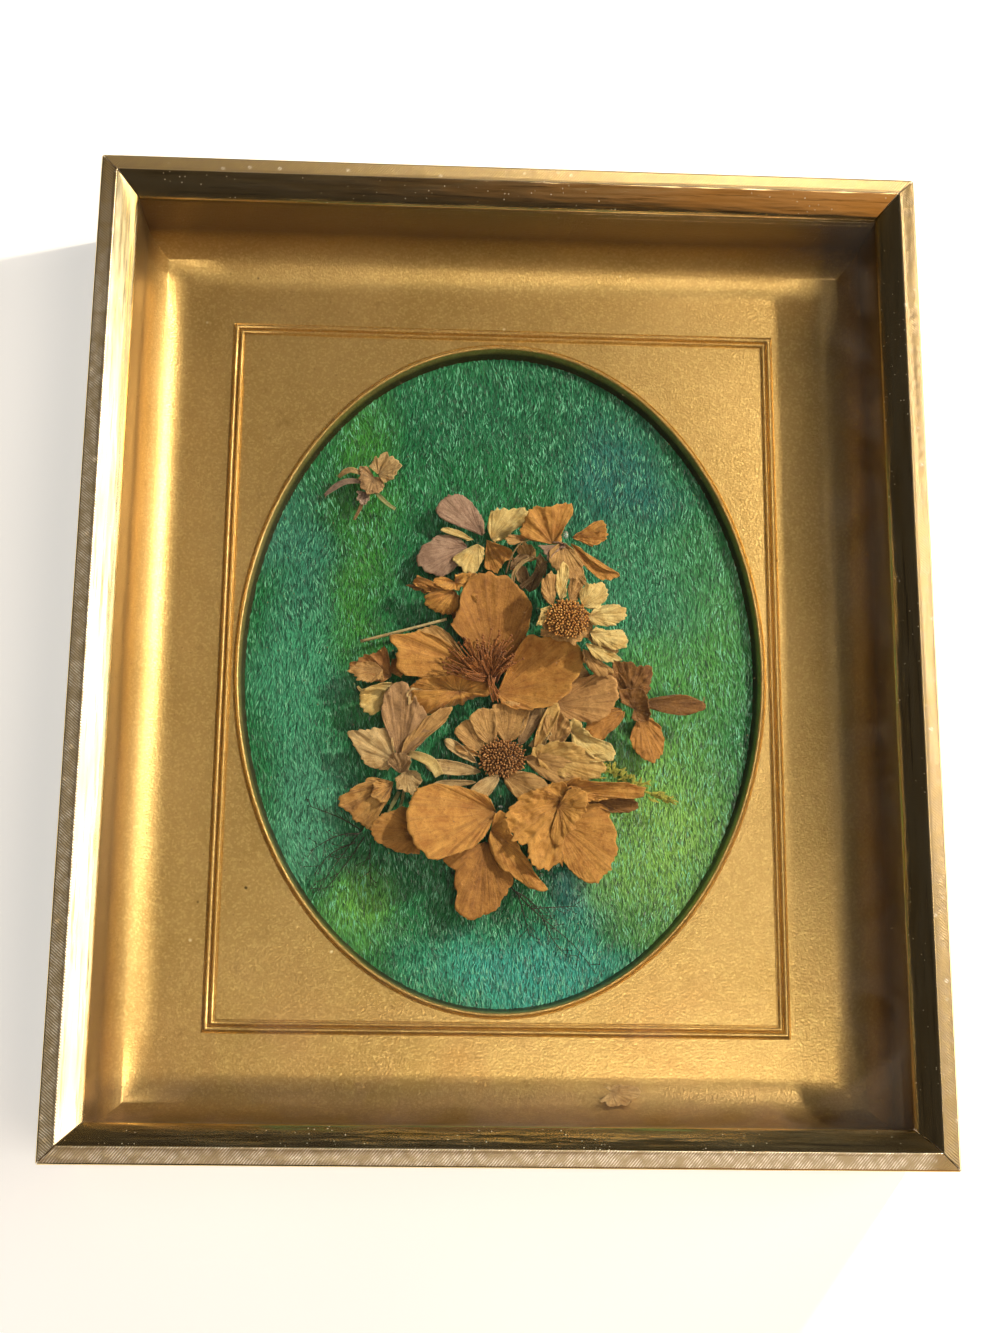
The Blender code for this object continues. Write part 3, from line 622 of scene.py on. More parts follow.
# %% Dried petal finish
def dried_petal(name, light, body, deep, lanes=34, streaks=0.38, base_stain=0.75):
    material, tree, shader = new_material(name)
    fan = add_node(tree, "UVMap", uv_map="UVMap")
    out = add_node(tree, "SeparateXYZ", {"Vector": fan}).outputs["Y"]
    place = millimetres(tree)
    clouds = add_node(tree, "TexNoise", {"Vector": place, "Scale": 0.22, "Detail": 6, "Roughness": 0.68})
    mottle = add_node(tree, "TexNoise", {"Vector": place, "Scale": 0.75, "Detail": 5, "Roughness": 0.7})
    along = add_node(tree, "Mapping", {"Vector": fan, "Scale": (lanes, 1.1, 1)})
    veins = add_node(tree, "TexNoise", {"Vector": along, "Scale": 1.0, "Detail": 5, "Roughness": 0.6,
                                        "Distortion": 0.35})
    fine = add_node(tree, "Mapping", {"Vector": fan, "Scale": (lanes * 3.1, 2.5, 1)})
    fine = add_node(tree, "TexNoise", {"Vector": fine, "Scale": 1.0, "Detail": 3})

    # Veins, pale hairs between them, brown spots, the stained base and the bleached rim
    layers = []
    for value, start, full, most, colour in ((veins, 0.47, 0.66, streaks, deep),
                                             (fine, 0.5, 0.8, 0.3, light),
                                             (mottle, 0.54, 0.72, 0.55, deep),
                                             (out, 0.42, 0.02, base_stain, deep),
                                             (out, 0.93, 1.0, 0.4, light)):
        share = add_node(tree, "MapRange", {"Value": value, "From Min": start, "From Max": full,
                                            "To Max": most})
        layers.append([share, colour])
    layers[3][0] = add_node(tree, "Math", {0: layers[3][0], 1: clouds}, operation="MULTIPLY")
    tone = add_node(tree, "ValToRGB", {"Fac": clouds}, [(0.36, body), (0.62, light)])
    for share, colour in layers:
        tone = add_node(tree, "Mix", {"Factor": share, "A": tone, "B": colour}, data_type="RGBA")

    relief = add_node(tree, "Bump", {"Height": veins, "Strength": 0.6, "Distance": 0.0008})
    relief = add_node(tree, "Bump", {"Height": mottle, "Strength": 0.6, "Distance": 0.0008, "Normal": relief})
    rough = add_node(tree, "MapRange", {"Value": mottle, "To Min": 0.5, "To Max": 0.75})
    shader.inputs["Sheen Weight"].default_value = 0.12
    shader.inputs["Specular IOR Level"].default_value = 0.35
    set_inputs(tree, shader, {"Base Color": tone, "Roughness": rough, "Normal": relief})
    return material


amber = dried_petal("dried_amber_petal", "#CD9746", "#AA7029", "#603614")
tan = dried_petal("dried_tan_petal", "#C79C5C", "#A77C42", "#5A381B")
mauve = dried_petal("dried_mauve_petal", "#B2937A", "#96765F", "#5F4034")
cream = dried_petal("dried_cream_petal", "#E2CB86", "#CDA95C", "#8C6230", streaks=0.35)
rust = dried_petal("dried_rust_petal", "#8E6128", "#6C451A", "#38200D")
pale_tan = dried_petal("dried_pale_tan_petal", "#D6B880", "#B08C54", "#5A4028")
brown = dried_petal("dried_grey_brown_tissue", "#B08D5E", "#86663F", "#3F2A1B")
print("petal finishes ready")

# %% [markdown]
# Outlines are drawn on one level, the liner's face, as seen from the same place above the frame. A point that
# stands higher comes nearer the eye, so it is drawn in along the line of sight. That keeps every outline true
# however high its petal stands.

# %% Outlines and heights
EYE = np.array([-27.94, -147.07, 613.73])  # mm
DRAWN_AT = 17.0  # the height of the level that outlines are drawn on


def stand(points):
    """Points are (x, y, height over the velvet). Returns them in the frame's own mm."""
    points = np.array(points, float)
    points[..., 2] += CLOTH_TOP
    share = (EYE[2] - points[..., 2:]) / (EYE[2] - DRAWN_AT)
    points[..., :2] = EYE[:2] + (points[..., :2] - EYE[:2]) * share
    return points


def evenly(points, count):
    """The same curve, with its points evenly spaced."""
    points = np.array(points, float)
    run = np.concatenate([[0], np.cumsum(np.linalg.norm(np.diff(points, axis=0), axis=1))])
    return np.stack([np.interp(np.linspace(0, run[-1], count), run, axis) for axis in points.T], axis=-1)


def rough(grid, scale, seed):
    """Noise from -1 to 1 for each point, with features about 1 / scale apart."""
    flat = grid.reshape(-1, grid.shape[-1])
    values = [noise.noise((p[0] * scale, p[1] * scale, seed)) for p in flat]
    return np.array(values).reshape(grid.shape[:-1])


def creases(grid, scale, seed):
    """Sharp ridges between soft hollows."""
    return 0.5 - 2.0 * np.abs(rough(grid, scale, seed))


print("a tip 15 mm up is drawn in by", round(15 / (EYE[2] - DRAWN_AT), 3),
      "of its distance from the eye's foot")


# %% [markdown]
# Every part of a dried flower is a petal, a flat strip or a round thread. The petal's
# outline is bitten by noise of three sizes, its surface is lifted, bowed and cupped, and
# then veins, creases, ruffles and pleats are added as heights. Each takes its noise from
# the petal's own place, so no two are alike and every run gives the same ones.

# %% Petal, strip and tube
def petal(base, edge, rise, kind=0, bow=0.0, cup=0.0, ruffle=0.7, crumple=0.6, veins=0.3, pleats=0, pleat=0.7,
          torn=1.2, rows=22, columns=72):
    """base is (x, y, height). edge runs round the rim from one side to the other, rise is its height there.
    kind is the number of its finish. bow lifts its middle, cup lifts its sides, torn roughens its rim."""
    seed = base[0] * 0.37 + base[1] * 0.61 + len(edge)
    rim = evenly(bend_through([(*p, 0) for p in edge], 10), columns)[:, :2]
    across = np.linspace(0, 1, columns)[None, :]
    out = np.linspace(0.02, 1, rows)[:, None]
    middle = np.array(base[:2])
    outward = (rim - middle) / np.linalg.norm(rim - middle, axis=1)[:, None]
    bites = rough(rim, 0.28, seed) + 0.7 * rough(rim, 0.75, seed + 5) + 0.5 * rough(rim, 1.6, seed + 9)
    rim = rim + outward * (torn * bites)[:, None]
    flat = middle + (rim[None, :, :] - middle) * out[:, :, None]
    height = base[2] + (np.interp(across, np.linspace(0, 1, len(rise)), rise) - base[2]) * out ** 1.15
    height = height + 0.75 * bow * np.sin(math.pi * out * 0.92)
    height = height + cup * (2 * across - 1) ** 2 * np.sin(out * 2.2)
    fan = np.stack([across * 16 + out * 0, out * 1.6 + across * 0], axis=-1)
    height = height + veins * creases(fan, 1.0, seed + 11) * out
    folds = creases(flat, 0.13, seed + 2) + 0.6 * creases(flat, 0.33, seed + 3)
    folds = folds + 0.25 * creases(flat, 0.8, seed + 4)
    height = height + crumple * folds * (0.35 + 0.65 * out)
    wave = rough(np.stack([across * 9 + out * 0, out * 1.2 + across * 0], axis=-1), 1.0, seed + 7)
    height = height + ruffle * wave * out ** 2.5 * 1.6
    if pleats:
        height = height + pleat * np.sin(2 * math.pi * pleats * across + seed) * out * (1.15 - 0.5 * out)
    points = stand(np.dstack([flat, np.maximum(height, 0.5)]))
    uvs = np.dstack([across + out * 0, out + across * 0]).reshape(-1, 2) + (base[0] * 1.7, 0)
    return points.reshape(-1, 3), grid_faces(rows, columns), uvs, kind


def ray(base, tip, width, kind=0, blunt=0.8, **shape):
    """A long petal: base and tip are (x, y, height), and width is across its widest part."""
    along = np.array(tip[:2], float) - base[:2]
    side = np.array([-along[1], along[0]]) / np.hypot(*along) * width / 2
    edge = [(0.10, 0.45), (0.4, 0.9), (0.7, 1), (0.9, blunt), (1, 0.25), (1, -0.25), (0.9, -blunt), (0.7, -1),
            (0.4, -0.9), (0.10, -0.45)]
    edge = [tuple(np.array(base[:2]) + along * a + side * b) for a, b in edge]
    heights = [base[2] + (tip[2] - base[2]) * a for a in (0.1, 0.7, 1, 1, 1, 0.7, 0.1)]
    return petal(base, edge, heights, kind, columns=44, rows=16, **{"torn": 0.5, **shape})


def strip(path, widths, kind=0, trough=0.0, columns=7):
    """A ribbon along (x, y, height) points. trough lifts its sides."""
    line = evenly(bend_through(path, 8), 6 * len(path))
    flow = np.gradient(line[:, :2], axis=0)
    side = np.stack([-flow[:, 1], flow[:, 0]], axis=-1) / np.linalg.norm(flow, axis=1)[:, None]
    wide = np.interp(np.linspace(0, 1, len(line)), np.linspace(0, 1, len(widths)), widths)
    across = np.linspace(-0.5, 0.5, columns)
    flat = line[:, None, :2] + side[:, None, :] * (across[None, :] * wide[:, None])[:, :, None]
    height = line[:, None, 2] + trough * (2 * across[None, :]) ** 2 + 0.15 * rough(flat, 0.8, path[0][0])
    points = stand(np.dstack([flat, np.maximum(height, 0.4)]))
    uvs = np.dstack(np.meshgrid(across + 0.5, np.linspace(0.1, 1, len(line))))
    return points.reshape(-1, 3), grid_faces(len(line), columns), uvs.reshape(-1, 2), kind


def tube(path, radii, sides=6, steps=5):
    """A round thread along (x, y, height) points, closed at both ends."""
    line = stand(evenly(bend_through(path, steps), max(steps * (len(path) - 1), 3)))
    radius = np.interp(np.linspace(0, 1, len(line)), np.linspace(0, 1, len(radii)), radii)
    flow = np.gradient(line, axis=0)
    flow /= np.linalg.norm(flow, axis=1)[:, None]
    first = np.cross(flow, (0.3, 0.2, 0.93))
    first /= np.linalg.norm(first, axis=1)[:, None]
    second = np.cross(flow, first)
    turn = np.linspace(0, 2 * math.pi, sides, endpoint=False)
    ring = first[:, None, :] * np.cos(turn)[None, :, None] + second[:, None, :] * np.sin(turn)[None, :, None]
    points = (line[:, None, :] + ring * radius[:, None, None]).reshape(-1, 3)
    faces = grid_faces(len(line), sides, closed=True)
    faces += [tuple(reversed(range(sides))), tuple(range(len(points) - sides, len(points)))]
    uvs = np.dstack(np.meshgrid(np.linspace(0, 1, sides), np.linspace(0, 1, len(line)))).reshape(-1, 2)
    return points, faces, uvs, 0


def flower(name, finishes, node, parts, thickness=0.22):
    """Joins petals, strips or tubes into one piece, which stands for the plain solid called node."""
    points, faces, uvs, kinds = [], [], [], []
    for part_points, part_faces, part_uvs, kind in parts:
        faces += [tuple(len(points) + i for i in face) for face in part_faces]
        points += part_points.tolist()
        uvs += part_uvs.tolist()
        kinds += [kind] * len(part_faces)
    piece = make_piece(name, points, faces, finishes, [node] if node else (), uvs, kinds)
    if thickness:
        thicken(piece, thickness)
    print(name, len(faces), "faces")


print("petal, ray, strip, tube and flower are ready")


# %% [markdown]
# ### Mauve floret, orange floret and calyx
# A small floret with two dull mauve petals and cream ones lies at the top left. To its
# right an orange floret with a pleated, brown-veined fan stands higher, over a
# shrivelled calyx whose thread arches up to it.

# %% Mauve floret
flower("mauve_floret_petals", [mauve, cream, amber], "mauve_floret", [
    petal((-7, 45, 5.5), [(-10, 47), (-15, 49), (-19.5, 50), (-22.5, 53), (-21.5, 57), (-17, 59),
        (-12.5, 58.5), (-9, 54), (-6.5, 50), (-5.8, 46.5)], (6, 6.5, 7, 6.5, 6), bow=1.2, ruffle=0.4),
    petal((-12, 41, 5), [(-14, 43.5), (-19, 45), (-24.5, 43), (-28, 38), (-28.3, 34.5), (-25, 31),
        (-20, 30.5), (-16, 33), (-13.5, 37)], (5.5, 6.5, 6, 6, 5), bow=1.4, ruffle=0.4),
    petal((-10, 43.5, 6.4), [(-14, 46.3), (-18, 47.5), (-21, 47.2), (-20, 46), (-15, 44.3), (-12, 43)],
        (7, 8, 7), 1, bow=0.6, ruffle=0.3, crumple=0.2),
    petal((-8.5, 42, 6.5), [(-12, 40.5), (-16.8, 36.5), (-13.5, 33), (-11, 31), (-8, 33), (-6.5, 37),
        (-6.8, 41)], (7, 7.5, 7, 7), 1, bow=1.0, cup=-0.8),
    petal((-4, 44, 6), [(-5.3, 48), (-4.5, 52), (-1.5, 55.5), (3, 55.5), (8, 55), (7, 50), (3, 46.5),
        (-0.5, 43.5), (-3, 43)], (7, 8.5, 9, 8, 6), 1, bow=0.8, cup=0.8, pleats=3, pleat=0.3),
    petal((-5.5, 43.5, 6.2), [(-3.5, 42.5), (0, 41.5), (3, 40), (2, 36.5), (-0.5, 35), (-3.5, 37),
        (-5.5, 40)], (7, 8, 7, 6), 2, pleats=4, pleat=0.5),
    petal((-5.5, 42, 5.6), [(-5.8, 37), (-6, 33), (-3, 32.5), (0, 33.5), (-1.5, 37), (-3.5, 40)],
        (6, 7.5, 6.5), 2, pleats=3, pleat=0.5)])

# %% Orange floret
flower("orange_floret_petals", [amber, tan, mauve], "orange_floret", [
    petal((17, 42.5, 13), [(9, 43.8), (5.5, 46), (7.5, 50), (9, 55), (15, 55.8), (20, 57), (23.5, 57),
        (24, 54), (21.5, 50), (20, 46), (19.5, 43)], (13.5, 15, 17, 17.5, 16, 14), bow=1.2, pleats=5,
        pleat=0.55, ruffle=0.6),
    petal((8, 44, 12), [(5.5, 45.5), (2.5, 45.5), (1, 43.5), (3, 42), (6, 43)], (13, 14, 13), 1, bow=0.8),
    petal((23.5, 45, 13), [(25, 46.5), (28.5, 48.5), (31.5, 51), (34.5, 51), (35.5, 47.5), (33, 43.5),
        (30.5, 42), (28, 43.5), (25.5, 44)], (14, 16, 17, 15, 14), bow=1.0, cup=1.0),
    petal((23, 43, 13.5), [(26.5, 41.5), (30, 37), (34, 34.5), (40, 32.3), (36, 30.5), (32.5, 31), (28, 35),
        (25, 39.5)], (14, 15.5, 15, 14.5, 14), cup=1.2, ruffle=0.4),
    petal((20, 43.5, 14.5), [(16, 40.5), (15.5, 36.5), (18, 34), (21, 32), (23, 30.5), (26.5, 31), (27.3, 35),
        (25.5, 39), (22.5, 42)], (16, 18, 19, 18, 16), 1, bow=1.2, ruffle=0.5),
    petal((22, 36, 13), [(27.5, 33), (28, 29), (26, 25.5), (24.5, 28), (23, 31)], (15, 16, 15), 1),
    petal((20, 42.5, 15), [(12, 42), (14, 39.5), (15.5, 36), (17, 39), (19, 40), (22, 43), (16, 43.5)],
        (15, 16.5, 17, 16, 15), 2, crumple=0.9, ruffle=0.9)])

# %% Calyx
flower("dried_calyx_folds", [brown, tan, pale_tan], "dried_calyx", [
    petal((9, 36, 4), [(5, 39), (5.5, 42), (9, 42.5), (11, 40), (11, 37)], (5, 6, 5), 1, crumple=0.5),
    petal((9, 25.5, 6), [(5, 29.5), (4.5, 33), (7.5, 34.5), (9.5, 31.5), (12, 35), (12, 38), (14, 37),
        (13.5, 33), (13, 29), (11, 26.5)], (7, 8, 9, 10, 8), crumple=1.1, ruffle=1.2),
    petal((2.5, 33.5, 7), [(2.8, 36), (5, 38), (8, 37.5), (6, 35), (3.5, 32.5)], (8, 9, 8), crumple=0.8),
    petal((14.5, 31, 8), [(15, 35), (13, 38.5), (11.5, 36), (12.5, 32.5)], (9, 11, 9), crumple=0.8),
    strip([(6, 27, 8), (9.5, 30, 9.5), (12, 33.5, 9), (15, 36.5, 11)], (1.6, 1.2, 0.8), trough=0.5),
    strip([(3.5, 29, 8), (4, 32.5, 9.5), (7, 36, 10), (11, 38, 11)], (1.0, 1.3, 0.6), 2, trough=0.4)])
flower("calyx_thread", [pale_tan], None, [
    tube([(1.2, 32, 7), (2, 35, 9), (3.5, 39, 11), (6, 42.5, 12.5), (9, 43.8, 13.5)], (0.28, 0.22))], 0)

# %% [markdown]
# ### Bud, straw and yellow daisy
# The bud is a knot of folded petals. The straw is one hollow stem end. The yellow daisy
# stands highest of all, so its shadow falls across the big amber flower.

# %% Bud and straw
flower("amber_bud_folds", [amber, rust], "amber_bud", [
    petal((-22, 26, 9), [(-25.5, 28.8), (-28.5, 30.3), (-30, 28), (-28, 26.3), (-25, 25), (-22.5, 25)],
        (10, 11, 10), crumple=0.5),
    petal((-24, 26.5, 9), [(-29, 27.3), (-32.3, 27.2), (-32, 26.5), (-29.5, 25.7), (-27, 24.8), (-24, 24.7)],
        (9, 9.5, 9), 1, cup=0.8),
    petal((-16, 28.5, 9), [(-20, 30.5), (-23, 29.5), (-22.5, 27.5), (-20, 26.5), (-17, 25.5), (-13, 27.5),
        (-10.5, 31), (-13, 32), (-16, 31)], (11, 12, 11, 11, 12, 12), bow=1.5, crumple=0.8, pleats=3,
        pleat=0.5),
    petal((-16, 25.5, 8), [(-20, 26), (-24, 24.5), (-25, 20.5), (-22, 17.8), (-19, 17), (-15, 19), (-14, 23)],
        (9, 9, 8, 7, 8, 9), bow=3.0, cup=-0.5, pleats=3, pleat=0.6, crumple=0.6),
    petal((-12, 24, 9), [(-14, 28), (-11, 31.5), (-8, 31), (-7.5, 27), (-9, 22)], (10, 11, 10), bow=1.5,
        crumple=0.6, pleats=2),
    petal((-14, 20, 7), [(-17, 18), (-15, 15), (-11.5, 15), (-10, 19), (-12, 22)], (7, 7, 7), 1, bow=1.0),
    strip([(-29, 29.6, 10.5), (-25, 28.2, 12), (-22, 26.8, 11.5), (-20, 26, 10)], (0.8, 1.8, 1.5, 0.8),
        trough=0.4)])
flower("straw_stem_end", [dried_petal("dried_straw_stem", "#E6D29A", "#C9AE74", "#8A6C42", lanes=9)],
        "straw_stem", [
    tube([(-47, 7.2, 4.5), (-33, 11.2, 5), (-18.5, 15.5, 6)], (0.55, 0.5), sides=10)], 0)

# %% Yellow daisy rays
flower("yellow_daisy_petals", [cream, tan], "yellow_daisy_rays", [
    petal((27, 21, 20), [(26, 24), (27, 27.5), (30, 29), (33.5, 28.8), (35.3, 25.5), (34, 22), (30, 20)],
        (20, 21, 20, 20), bow=1.2),
    petal((29, 17.5, 20), [(31, 20.5), (34.5, 21.8), (38, 22), (41.5, 20), (41, 17.5), (38.5, 15), (34, 14.5),
        (30, 15)], (20, 20, 19, 20), bow=1.4),
    petal((29.5, 12, 19.5), [(31, 13.5), (36, 12.8), (39.5, 13), (41.8, 10.5), (41, 7.5), (37.5, 6.2),
        (33.5, 7.2), (30.5, 9)], (19, 18.5, 18, 19), bow=1.4),
    petal((28, 8, 18.5), [(31, 7.8), (35, 6), (38, 4.8), (40, 2.5), (36, 2), (33, 2.2), (30, 4.5)],
        (18, 17, 17, 17.5), cup=0.8),
    petal((27.5, 5.5, 17), [(30, 3), (33.5, 0.5), (37, -0.5), (36, -2.2), (32, -2.5), (29, 0), (27, 1.5)],
        (16, 15, 14, 15), 1, cup=0.9),
    ray((28.5, 10.5, 17.5), (38.5, 5.6, 15.5), 3.6, 1, bow=0.8),
    ray((27, 6, 17), (34.5, -3.0, 14.5), 4.6, 1, bow=0.6),
    petal((16, 21, 20), [(13.5, 20), (12.5, 17), (11.5, 13.8), (13.5, 13.8), (15.5, 16.5), (17, 19)],
        (21, 21, 21), cup=0.8),
    petal((17, 21, 20), [(14.5, 22.5), (13, 26), (14, 30), (16.5, 33), (18.5, 30), (18, 25)], (21, 22, 20), 1,
        bow=0.6, crumple=0.5),
    petal((19.5, 23, 20), [(18, 27), (18.5, 32), (20.5, 36), (22.5, 33), (21.5, 28), (21, 24)], (21, 22, 20),
        cup=0.8),
    petal((22.5, 23, 20), [(22, 27), (23.5, 31), (26, 29), (27, 25.5), (25, 22.5)], (20, 21, 20), 1),
    petal((17, 12, 19), [(13, 13), (12.5, 11), (17.5, 9.5), (20, 10)], (19, 18, 18), 1),
    petal((22, 17, 18.5), [(14, 20), (14, 12), (20, 8), (27, 8.5), (30, 13), (29, 19), (25, 23), (18, 23)],
        (19, 18.5, 18.5, 19), 1)])


# %% [markdown]
# ### Seed heads
# The middle of a daisy is a dome packed with tiny dry florets, a ring of them leaning
# out at the rim and shorter ones in the middle. A bumpy dome would look moulded, so each
# floret is a tapered thread with a swollen tip, set out on a sunflower spiral. They are
# matt, dark at the foot and lighter towards the tip.


# %% Seed heads
def seed_head_finish(name, tip, body, deep):
    material, tree, shader = new_material(name)
    along = add_node(tree, "SeparateXYZ", {"Vector": add_node(tree, "UVMap", uv_map="UVMap")}).outputs["Y"]
    mixed = add_node(tree, "TexNoise", {"Vector": millimetres(tree), "Scale": 0.9, "Detail": 3})
    tone = add_node(tree, "ValToRGB", {"Fac": along}, [(0.35, deep), (0.95, body)])
    share = add_node(tree, "MapRange", {"Value": mixed, "From Min": 0.45, "From Max": 0.62, "To Max": 0.8})
    share = add_node(tree, "Math", {0: share, 1: along}, operation="MULTIPLY")
    tone = add_node(tree, "Mix", {"Factor": share, "A": tone, "B": tip}, data_type="RGBA")
    set_inputs(tree, shader, {"Base Color": tone, "Roughness": 0.7})
    return material


GOLDEN_ANGLE = 2.39996  # radians between one floret and the next on a sunflower spiral


def seed_head(name, centre, across, along, height, count, finish, node, lean=0.8):
    """A low dome, and count florets on it. across and along are its half sizes in mm."""
    rows, columns = 8, 28
    dome = []
    for reach in (0.02 + 0.93 * r / (rows - 1) for r in range(rows)):
        dome += [(centre[0] + across * reach * math.cos(a), centre[1] + along * reach * math.sin(a),
                  height - 1.2 - 1.8 * reach**2)
                 for a in np.linspace(0, 2 * math.pi, columns, endpoint=False)]
    parts = [(stand(dome), grid_faces(rows, columns, closed=True), np.full((rows * columns, 2), 0.15), 0)]
    for k in range(count):
        reach, turn = math.sqrt((k + 0.5) / count), k * GOLDEN_ANGLE
        x = centre[0] + across * 0.93 * reach * math.cos(turn)
        y = centre[1] + along * 0.93 * reach * math.sin(turn)
        out = lean * reach * random.uniform(0.6, 1.4)
        dx = out * math.cos(turn) + random.uniform(-0.35, 0.35)
        dy = out * math.sin(turn) + random.uniform(-0.35, 0.35)
        foot, tall = height - 1.6 - 1.8 * reach**2, random.uniform(1.5, 3.4) * (1.1 - 0.3 * reach)
        path = [(x, y, foot), (x + dx * 0.4, y + dy * 0.4, foot + tall * 0.6), (x + dx, y + dy, foot + tall)]
        parts.append(tube(path, (0.24, 0.2, 0.42, 0.2), sides=5, steps=2))
    flower(name, [finish], node, parts, 0)


random.seed(23)
golden_head = seed_head_finish("dry_golden_florets", "#EEC070", "#C88A3E", "#704820")
brown_head = seed_head_finish("dry_brown_florets", "#D8A466", "#A06C36", "#54341A")
seed_head("yellow_daisy_seed_head", (22, 16.5), 7.5, 6.6, 23.5, 190, golden_head, "yellow_daisy_disc")

# %% [markdown]
# ### Large amber flower
# Four broad amber petals round a burst of rust-brown stamens. The petals are cupped
# like shells; the lower one has rolled over on itself, with a folded flap at its end.

# %% Large amber flower
# A darker copy of the amber finish: painted shade, for the top petal of the large flower and the bottom petal
# of the lower one, which lie darker in shade
shaded_amber = dried_petal("dried_amber_petal_painted_shade", "#B57F37", "#956224", "#583013")
flower("amber_petal_top", [shaded_amber], "amber_flower_petal_top", [
    petal((-2, -4, 6.5), [(-5, -1), (-8, 3), (-13, 9), (-17, 13.5), (-16, 15.5), (-14.5, 20), (-13.5, 25.5),
        (-10.5, 30), (-6.5, 32.3), (-2, 32), (2.5, 30.5), (7, 25.5), (9.8, 22), (9.8, 17), (8.5, 12), (6, 5),
        (2, -2)], (9, 10.5, 12, 13.5, 13.5, 13, 12, 10, 8), bow=-1.6, cup=0.8, ruffle=0.5, crumple=0.25,
        veins=0.2, rows=26, columns=80)])
flower("amber_petal_right", [amber], "amber_flower_petal_right", [
    petal((-1.5, -9.5, 6.5), [(0, -6.5), (1, -4), (3.5, 2.5), (8.5, 10.3), (14, 10), (19.5, 10.3), (25, 8),
        (27.5, 3), (25.5, -2), (23, -7), (20, -11), (15, -14), (10, -15), (4, -14.5), (0, -13)],
        (9, 12, 14, 14, 13, 11, 9), bow=-1.4, cup=1.4, ruffle=0.4, crumple=0.2, veins=0.2, rows=26,
        columns=80)])
flower("amber_petal_left", [amber, tan], "amber_flower_petal_left", [
    petal((-9, -1, 6), [(-15, 6), (-18, 11), (-22, 13), (-27, 12.5), (-28, 9), (-22, 4), (-15, 0)],
        (8, 9, 9, 8), 1, bow=0.6),
    petal((-8, -1, 7), [(-13, 3), (-19, 8), (-25, 10.5), (-30, 10.7), (-37, 9), (-34.5, 5), (-35, 1),
        (-33, -3), (-28, -4.5), (-20, -5), (-13, -3.5)], (9, 12, 13.5, 13, 12, 10, 8), bow=1.0, cup=-0.6,
        ruffle=0.7, crumple=0.3, rows=24, columns=70)])
flower("amber_petal_lower", [amber, pale_tan], "amber_flower_petal_lower", [
    petal((-14, -10, 6.5), [(-4.5, -10.5), (-3, -8.5), (-3.2, -5), (-4, -4), (-7, -3), (-15, -3.5), (-25, -5),
        (-30, -7.2), (-31, -10)], (8, 9.5, 10.5, 12, 12, 11, 9), bow=1.2, crumple=0.9, ruffle=0.8, rows=20,
        columns=60),
    petal((-14, -9, 9.5), [(-30, -9), (-30, -12), (-27.5, -17), (-25, -17.5), (-20, -15.5), (-13, -13),
        (-6, -10.8), (-4.5, -10)], (11, 9.5, 7.5, 6.5, 6.5, 7, 9), bow=4.2, crumple=1.0, ruffle=0.7, torn=1.5,
        rows=18, columns=60),
    petal((-27.5, -8.5, 10.5), [(-30.5, -8), (-31, -11.5), (-28.5, -16.5), (-26.8, -17), (-26, -13),
        (-25.5, -9)], (11.5, 11, 9.5, 9, 10), 1, bow=0.6, crumple=0.4)])

# %% Stamens
random.seed(5)
OUTER, INNER = 96, 16
threads = []
for k in range(OUTER):
    share = k / (OUTER - 1)
    turn = math.radians(178 - 140 * share + random.uniform(-7, 7))
    reach = random.uniform(6, 16.5) * (1.0 if share < 0.8 else 0.8)
    x, y = -3 + random.uniform(-1.5, 1.5), -4 + random.uniform(-2, 2)
    tip = (x + reach * math.cos(turn), y + reach * math.sin(turn), random.uniform(13, 15.5))
    middle = (x + reach * 0.5 * math.cos(turn + 0.15), y + reach * 0.5 * math.sin(turn + 0.15),
              random.uniform(11, 13))
    threads.append(tube([(x, y, 8), middle, tip], (0.36, 0.27, 0.2), sides=5, steps=4))
    threads.append(tube([tip, (tip[0] + math.cos(turn) * 0.8, tip[1] + math.sin(turn) * 0.8, tip[2])],
                        (0.25, 0.55, 0.15), sides=5, steps=3))
for k in range(INNER):
    x, y = -3 + random.uniform(-1.2, 1.2), -4 + random.uniform(-1, 1)
    end = (-1.8 + random.uniform(-1.5, 1.5), -11.5 + random.uniform(-2.5, 3), random.uniform(11, 13))
    threads.append(tube([(x, y, 10), ((x + end[0]) / 2 - 0.6, (y + end[1]) / 2, 13.5), end], (0.34, 0.26,
                                                                                              0.2),
                        sides=5, steps=4))
thread_finish = dried_petal("dried_rust_stamen_thread", "#B87430", "#8C5220", "#4A2810", lanes=6)
flower("amber_flower_stamen_threads", [thread_finish], "amber_flower_stamens", threads, 0)

# %% [markdown]
# ### Left-hand petals
# Loose petals of mixed flowers fill the left edge: a brown fan, a cream-yellow scrap,
# a hanging mauve one, and a knot of bracts that holds a pleated triangle and a fan.

# %% Left-hand petals
flower("brown_petal_fan", [dried_petal("dried_brown_petal", "#AE7A3C", "#8E5C29", "#452610"), tan],
        "brown_petal", [
    petal((-36.5, -4.5, 7), [(-37, -1), (-38, 4), (-40, 5.5), (-42.5, 2.5), (-45.5, 3.5), (-48, 1.2),
        (-50, -2), (-46.5, -3.5), (-43, -6), (-38.5, -6)], (9, 10, 9, 9, 8), bow=1.0, pleats=3, pleat=0.8,
        ruffle=1.0, torn=1.8),
    petal((-39.5, -2, 8.5), [(-42.5, 0.5), (-46, 0), (-50.5, -2.4), (-48.5, -5.2), (-43.5, -6.8),
        (-39, -5.8)], (9.5, 10, 9.5, 9), 1, bow=0.6, crumple=0.8, torn=1.5),
    petal((-37, -3, 6), [(-36.5, 1), (-34, 2), (-32.5, -2), (-33, -5)], (8, 8, 7))])
